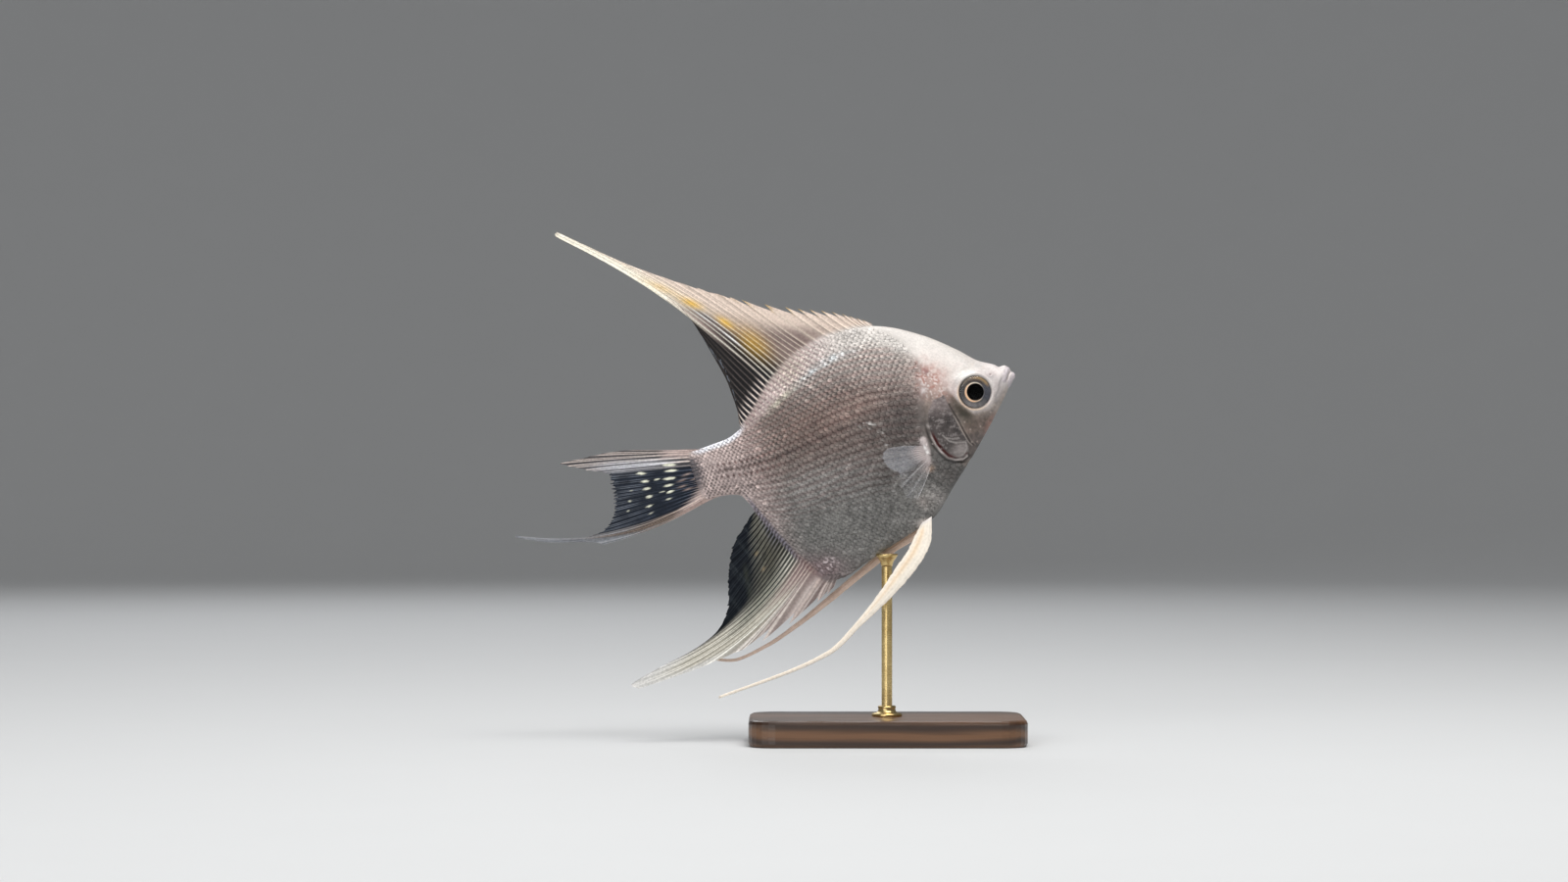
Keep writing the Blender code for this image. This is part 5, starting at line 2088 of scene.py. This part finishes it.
@dataclass(frozen=True)
class PectoralFin:
    """A clear fan behind the gill cover."""

    flank: Flank
    fan: Fan = Fan((
        (-8.4, 28.9, -6.8, 22), (-9, 32.4, -6.2, 18), (-9.6, 34.3, -7.9, 8),
        (-10.2, 33.7, -10.3, -2), (-10.9, 31.6, -12.8, -12), (-11.6, 32.7, -15.7, -22),
        (-12.4, 32, -18.1, -38), (-13.2, 29.6, -19.4, -55)))
    root: float = 24.3
    lift: float = 0.22
    clear: float = 0.45
    rays: int = 15
    rows: int = 40

    def blade(self) -> Shell:
        """A two-sided sheet whose rays leave the flank as they lengthen.

        Returns:
            The fin.
        """
        cells = RayCells(np.linspace(0, 7, self.rays), 0)
        place, phase, _ = cells.columns()
        rows = self.fan.at(place)
        edge = 1 - 0.02 * (1 + ripple(place * 3, 9, 4, 0.7)) - 0.03 * hump(phase, 0.5, 0.3)
        fold = 0.06 * hump(place, 5.3, 0.4)
        span = np.linspace(0, 1, self.rows)[None, :] * (edge - fold)[:, None]
        root = np.stack((np.full(len(place), self.root), rows[:, 0]), -1)
        at = ray_arcs(root, rows[:, 1:3], rows[:, 3], span)
        gone = np.linalg.norm(at - root[:, None], axis=-1)
        near = np.minimum(phase, 1 - phase)[:, None]
        fork = smooth(0.35, 0.6, span)
        ridge = (1 - fork) * hump(near, 0, 0.13) + fork * hump(near, 0.17, 0.08)
        half = 0.05 + 0.12 * ridge * (1 - 0.5 * span) + 0.22 * hump(gone, 0, 1.3)
        wave = 0.25 * np.sin(place[:, None] * 2.1) * smooth(0.3, 1, span)
        side = (FORM.half_width(at[..., 0], at[..., 1]) + self.clear + self.lift * gone + wave
                - 0.45 * hump(gone, 0, 1.5))
        middle = np.stack((-at[..., 0], self.flank.value * side, at[..., 1]), -1)
        return two_sided(middle, half, self.tint(place[:, None] * np.ones_like(span), span, ridge))

    def tint(self, place: Array, span: Array, on_ray: Array) -> Array:
        """Bluish clear web with pale rays, milkier at the root, in red, green, blue, opacity.

        Args:
            place: Place of each point in the fan, in key rows.
            span: Its place along its ray, from 0 to 1.
            on_ray: 1 on a ray, 0 on the web.

        Returns:
            Red, green, blue and opacity for each point.
        """
        colour = mix((0.46, 0.48, 0.53), (0.6, 0.59, 0.6), np.clip(on_ray, 0, 1))
        colour = mix(colour, (0.66, 0.58, 0.57), smooth(0.52, 0.12, span))
        upper = smooth(4.6, 3.6, place)
        solid = 0.03 + 0.17 * upper + 0.05 * np.clip(on_ray, 0, 1)
        solid = solid + 0.5 * smooth(0.42, 0.06, span) * (0.5 + 0.5 * upper)
        edge = (hump(place, 7, 0.12) + 0.7 * hump(place, 5, 0.12) + 0.5 * hump(place, 6.1, 0.1)
                + 0.3 * hump(place, 0, 0.15))
        colour = mix(colour, (0.74, 0.72, 0.71), np.clip(edge, 0, 1) * 0.8)
        solid = np.clip(solid + 0.26 * edge * (1 - 0.5 * smooth(0.7, 1, span)), 0, 0.96)
        return np.concatenate((colour, solid[..., None]), -1)

    def make(self, finish: Material) -> None:
        """Builds and dresses the fin."""
        word = self.flank.word
        make_piece(f"pectoral_membrane_{word}", self.blade(), finish,
                   (f"pectoral_fin_{word}",))


@dataclass(frozen=True)
class PelvicFin:
    """A long feeler: a ribbed strap under the breast that narrows to a filament."""

    flank: Flank
    track: Fan  # leading edge, trailing edge and side
    cream: Rgb
    shade: Rgb
    root_half: float = 0.62
    tip_half: float = 0.17
    rings: int = 170
    around: int = 36
    ribs: int = 6

    def blade(self) -> Shell:
        """Flattened rings along the track, with shallow ribs that run its whole length.

        Returns:
            The fin.
        """
        count = len(self.track.rows) - 1
        place = np.linspace(0, 1, self.rings) ** 1.25 * count
        rows = self.track.at(place)
        lead, trail, side = rows[:, None, 0:2], rows[:, None, 2:4], rows[:, None, 4]
        along = (place / count)[:, None]
        turn = turns(self.around)
        half = self.root_half + (self.tip_half - self.root_half) * along**0.55
        rib = 1 + 0.16 * np.cos(turn * 2 * self.ribs) * smooth(0, 0.06, along)
        ragged = ripple(along * 26, 40 + self.flank.value, 6, 0.5) * smooth(0.03, 0.1, along)
        ragged = 1 + 0.07 * ragged
        at = ((lead + trail) / 2 + (trail - lead) / 2 * np.cos(turn)[..., None]
              * ragged[..., None])
        y = side + half * np.sin(turn) * rib
        points = np.stack((-at[..., 0], y * np.ones_like(at[..., 0]), at[..., 1]), -1)
        tint = self.tint(along * np.ones_like(turn), turn * np.ones_like(along))
        return capped(points, tint)

    def tint(self, along: Array, turn: Array) -> Array:
        """White root, then cream with a warm stripe along the middle, pale edges and painted shade
        in the grooves between the ribs.

        Args:
            along: Place of each point along the feeler, from 0 to 1.
            turn: Its angle round it.

        Returns:
            Red, green and blue for each point.
        """
        out = flat(self.cream, along)
        stripe = hump(np.cos(turn), 0.35, 0.3) * smooth(0.02, 0.08, along)
        out = mix(out, self.shade, stripe * (1 - 0.7 * smooth(0.35, 0.7, along)) * 0.75)
        # Painted shade in the grooves between the ribs, fading towards the tip
        groove = 0.5 - 0.5 * np.cos(turn * 2 * self.ribs)
        out = out * (1 - 0.13 * groove * (1 - 0.6 * along))[..., None]
        return mix(out, (0.9, 0.84, 0.81), smooth(0.035, 0, along) * 0.9)

    def make(self, finish: Material) -> None:
        """Builds and dresses the fin."""
        word = self.flank.word
        make_piece(f"pelvic_feeler_{word}", self.blade(), finish,
                   (f"pelvic_fin_{word}",))


# ---------------- stand and studio


@dataclass(frozen=True)
class Stand:
    """Wooden base and brass rod, with a turned foot collar and a cup under the belly."""

    collar_radius: float = 3.4
    collar_height: float = 2.4
    cup_radius: float = 2.5
    cup_height: float = 1.7
    # Rings of each, from the foot up, as shares of its radius and height
    collar: tuple[tuple[float, float], ...] = (
        (0.3, -0.1), (1, -0.02), (1, 0.22), (0.95, 0.3), (0.72, 0.36), (0.6, 0.48), (0.56, 0.72),
        (0.6, 0.84), (0.58, 0.95), (0.5, 1), (0.2, 1))
    cup: tuple[tuple[float, float], ...] = (
        (0.2, -1.5), (0.5, -1.5), (0.54, -1.2), (0.62, -0.8), (0.86, -0.35), (1, 0), (1, 0.12),
        (0.93, 0.18), (0.4, 0.16))
    around: int = 64

    def turned(self, profile: Array) -> Shell:
        """A closed turned form, from its rings' radii and levels in metres, foot first."""
        rings = lathe(*profile.T, self.around)
        return capped(rings, np.full(rings.shape, 0.5))

    def make(self, wood: Material, brass: Material) -> None:
        """Dresses the CAD base and rod, and adds the collar and the cup.

        Args:
            wood: Material of the base.
            brass: Material of the metal parts.
        """
        for node, finish in (("stand_base", wood), ("stand_rod", brass)):
            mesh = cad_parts[node].data
            mesh.materials.clear()
            mesh.materials.append(finish)
        for name, radius, height, profile, node in (
                ("stand_collar", self.collar_radius, self.collar_height, self.collar,
                 "stand_base"),
                ("stand_cup", self.cup_radius, self.cup_height, self.cup, "stand_rod")):
            rings = np.array(profile) * (radius * MM, height * MM) + (0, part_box(node)[1].z)
            make_piece(name, self.turned(rings), brass, placed=True)


@dataclass(frozen=True)
class Studio:
    """Pale round floor that sweeps up into a wall, soft lamps and the camera."""

    floor_radius: float = 1.15
    sweep: float = 0.85
    wall: float = 0.9
    around: int = 96
    camera_at: tuple[float, float, float] = (-0.0231, -0.978, 0.0678)
    lens: float = 100
    top_power: float = 7.2
    front_power: float = 3.5
    rear_power: float = 2
    ambient: float = 0.19

    def floor(self) -> None:
        """Floor and wall: a profile turned round the stand."""
        bend = np.linspace(0, math.pi / 2, 20)[1:]
        radius = np.concatenate(((0.001,), np.linspace(0.1, self.floor_radius, 8),
                                 self.floor_radius + self.sweep * np.sin(bend),
                                 (self.floor_radius + self.sweep,)))
        level = np.concatenate((np.zeros(9), self.sweep * (1 - np.cos(bend)),
                                (self.sweep + self.wall,)))
        points = lathe(radius, level, self.around)
        mesh = bpy.data.meshes.new("studio_sweep")
        quads = weave(len(radius), self.around, True)
        mesh.from_pydata(points.reshape(-1, 3).tolist(), [], quads.tolist())
        mesh.shade_smooth()
        mesh.materials.append(StudioFinish().build())
        sweep = bpy.data.objects.new("studio_sweep", mesh)
        bpy.context.scene.collection.objects.link(sweep)

    @staticmethod
    def lamp(name: str, at: tuple[float, float, float], aim: tuple[float, float, float],
             size: float, power: float, colour: Rgb) -> None:
        """Adds a square softbox that faces a point.

        Args:
            name: The lamp's name.
            at: Its place.
            aim: The point that it faces.
            size: Its side.
            power: Its power in watts.
            colour: Its colour.
        """
        data = bpy.data.lights.new(name, "AREA")
        data.size, data.energy, data.color = size, power, colour
        item = bpy.data.objects.new(name, data)
        item.location = at
        item.rotation_euler = (Vector(aim) - Vector(at)).to_track_quat("-Z", "Y").to_euler()
        bpy.context.scene.collection.objects.link(item)

    def lights(self) -> None:
        """A broad softbox overhead, a weaker one beside the camera and one behind."""
        middle = (-0.01, 0, 0.07)
        self.lamp("softbox_top", (0.12, -0.22, 0.78), middle, 0.55, self.top_power,
                  (1, 0.99, 0.97))
        self.lamp("softbox_front", (-0.45, -0.85, 0.28), middle, 0.6, self.front_power, (1, 1, 1))
        self.lamp("softbox_rear", (-0.2, 0.75, 0.6), middle, 0.6, self.rear_power, (0.97, 0.98, 1))
        world = bpy.data.worlds.new("studio_air")
        world.use_nodes = True
        air = world.node_tree.nodes["Background"]
        air.inputs["Color"].default_value = (1, 1, 1, 1)
        air.inputs["Strength"].default_value = self.ambient
        bpy.context.scene.world = world

    def camera(self) -> None:
        """A long lens level with the fish, looking along +Y."""
        data = bpy.data.cameras.new("camera")
        data.lens, data.sensor_width = self.lens, 36
        item = bpy.data.objects.new("camera", data)
        item.location = self.camera_at
        item.rotation_euler = (math.pi / 2, 0, 0)
        bpy.context.scene.collection.objects.link(item)
        bpy.context.scene.camera = item

    def make(self) -> None:
        """Sets up the studio, with plain colour handling."""
        self.floor()
        self.lights()
        self.camera()
        bpy.context.scene.view_settings.view_transform = "Standard"


# ---------------- the whole model


DORSAL_FAN = Fan((
    (25, 26.6, 21.9, 45), (29, 33.6, 26.6, 47), (34.4, 41, 30, 50), (40, 50, 34.6, 52),
    (44.4, 61, 41.9, 54), (47.8, 73.1, 51.2, 59), (50.5, 86.8, 64.1, 62), (51.6, 87.4, 63.3, 63),
    (53.2, 68.4, 43.2, 62), (54.8, 65.2, 38, 60), (56.6, 62.9, 30, 57), (58.4, 60.7, 23.4, 54),
    (60, 60.5, 16, 54), (61.3, 61.4, 11, 60)), (6, 7))
ANAL_FAN = Fan((
    (51.3, 53.8, -32.4, -38), (53.4, 58.3, -33.9, -37), (55.7, 65.8, -36.5, -37),
    (57.4, 72.6, -38.1, -37), (58, 82, -38.9, -38), (58.4, 94, -39.3, -39),
    (58.8, 102.7, -39.1, -40), (59.2, 103.9, -37.6, -40), (59.8, 96.5, -36.2, -40),
    (60.5, 88, -35, -40), (61.4, 82.1, -33, -40), (62.3, 77.9, -28.8, -40),
    (63.2, 75.6, -22.2, -40), (64.1, 72.4, -16, -38), (64.9, 66.6, -11, -38)), (6, 7))
CAUDAL_FAN = Fan((
    (7.2, 79, 9.4, 18), (6.7, 91, 13.15, 18), (5.9, 103.4, 14.5, 17), (4.6, 98, 11.1, 15),
    (2.9, 93.6, 8.3, 13), (0.5, 93.8, 4.8, 9), (-0.5, 94.4, 2.5, 5), (-1.5, 95.8, -0.8, 0),
    (-2.3, 99.8, -3.2, -10), (-2.8, 104, -3.2, -15.5), (-2.95, 108, -2.1, -16.2),
    (-3.05, 112, -0.65, -16.4), (-3.1, 117.6, 2.3, -16.5), (-3.2, 117.9, 2, -16.5),
    (-3.3, 112.1, -1.05, -16.6), (-3.4, 108.1, -2.6, -16.7), (-3.5, 104.2, -3.8, -16.8),
    (-3.65, 101.6, -4.9, -16.5), (-3.9, 98.6, -6.1, -15), (-4.2, 84, -5.7, -12)), (2, 12, 13))
PELVIC_RIGHT = Fan((
    (27.6, -23.9, 30.4, -24.7, -0.9), (29.5, -28.9, 32.7, -26.8, -2.6),
    (32, -31.7, 35.3, -29.4, -3.8), (35.8, -34.5, 38.8, -31.9, -4.6),
    (41.7, -37.8, 43.5, -35.5, -5.2), (50.5, -41.8, 51.3, -40.6, -5.8),
    (59.5, -45.7, 60.2, -44.8, -6.2), (70.5, -46.7, 70.3, -45.9, -6.3),
    (85.9, -46.9, 85.7, -46.3, -5.6)))
PELVIC_LEFT = Fan((
    (28.2, -25.8, 30, -24.2, 0.9), (31.5, -27.5, 32.9, -25.8, 2.8),
    (38.4, -29.1, 39.2, -27.2, 3.6), (47, -32, 47.6, -30.4, 3.9), (55.4, -35.1, 56, -33.7, 3.9),
    (63.7, -37.8, 64.1, -36.8, 3.8), (71.8, -39.9, 72, -39.1, 3.5), (79, -40.7, 79, -40, 3.2),
    (86.6, -37.8, 86.2, -37.3, 2.6)))


def main() -> None:
    """Builds the fish, its stand and the studio."""
    logging.basicConfig(level=logging.INFO, format="%(message)s")
    Studio().make()
    Skin().make()
    scales = TintedFinish("angelfish_scales", roughness=0.38, mottle=0.75, mottle_scale=2300,
                          speckle=0.22, speckle_scale=4600, grain=0.00003, specular=0.34).build()
    ball = TintedFinish("eyeball", roughness=0.3, uneven=0.06, mottle=0.25, mottle_scale=3000,
                        grain=0.00001, specular=0.02).build()
    cornea = CorneaFinish().build()
    clear = TintedFinish("clear_membrane", roughness=0.35, mottle=0.1, see_through=True).build()
    for flank in Flank:
        Coat(flank).make(scales)
        Eye(flank).make(ball, cornea)
        PectoralFin(flank).make(clear)
    membrane = {name: TintedFinish(name, roughness=0.48, mottle=0.4, mottle_scale=1900,
                                   grain=0.00003, specular=0.07).build()
                for name in ("dorsal_membrane", "anal_membrane", "tail_membrane")}
    DorsalFin("dorsal_fin", DORSAL_FAN, (60, 2.4, (45, 20))).make(
        membrane["dorsal_membrane"], "dorsal_fin")
    AnalFin("anal_fin", ANAL_FAN, (50, -2, (58, -27)), cut=4.5, forks=(0.04, 0.22)).make(
        membrane["anal_membrane"], "anal_fin")
    TailFin("caudal_fin", CAUDAL_FAN, (46, 2.6, (72, 1.5)), ragged=0.9).make(
        membrane["tail_membrane"], "tail_fin")
    feeler = TintedFinish("pelvic_feeler", mottle_scale=1600).build()
    PelvicFin(Flank.RIGHT, PELVIC_RIGHT, (0.93, 0.85, 0.74), (0.86, 0.64, 0.42)).make(feeler)
    PelvicFin(Flank.LEFT, PELVIC_LEFT, (0.8, 0.62, 0.52), (0.66, 0.45, 0.34)).make(feeler)
    Stand().make(WoodFinish().build(), BrassFinish().build())


if __name__ == "__main__":
    main()
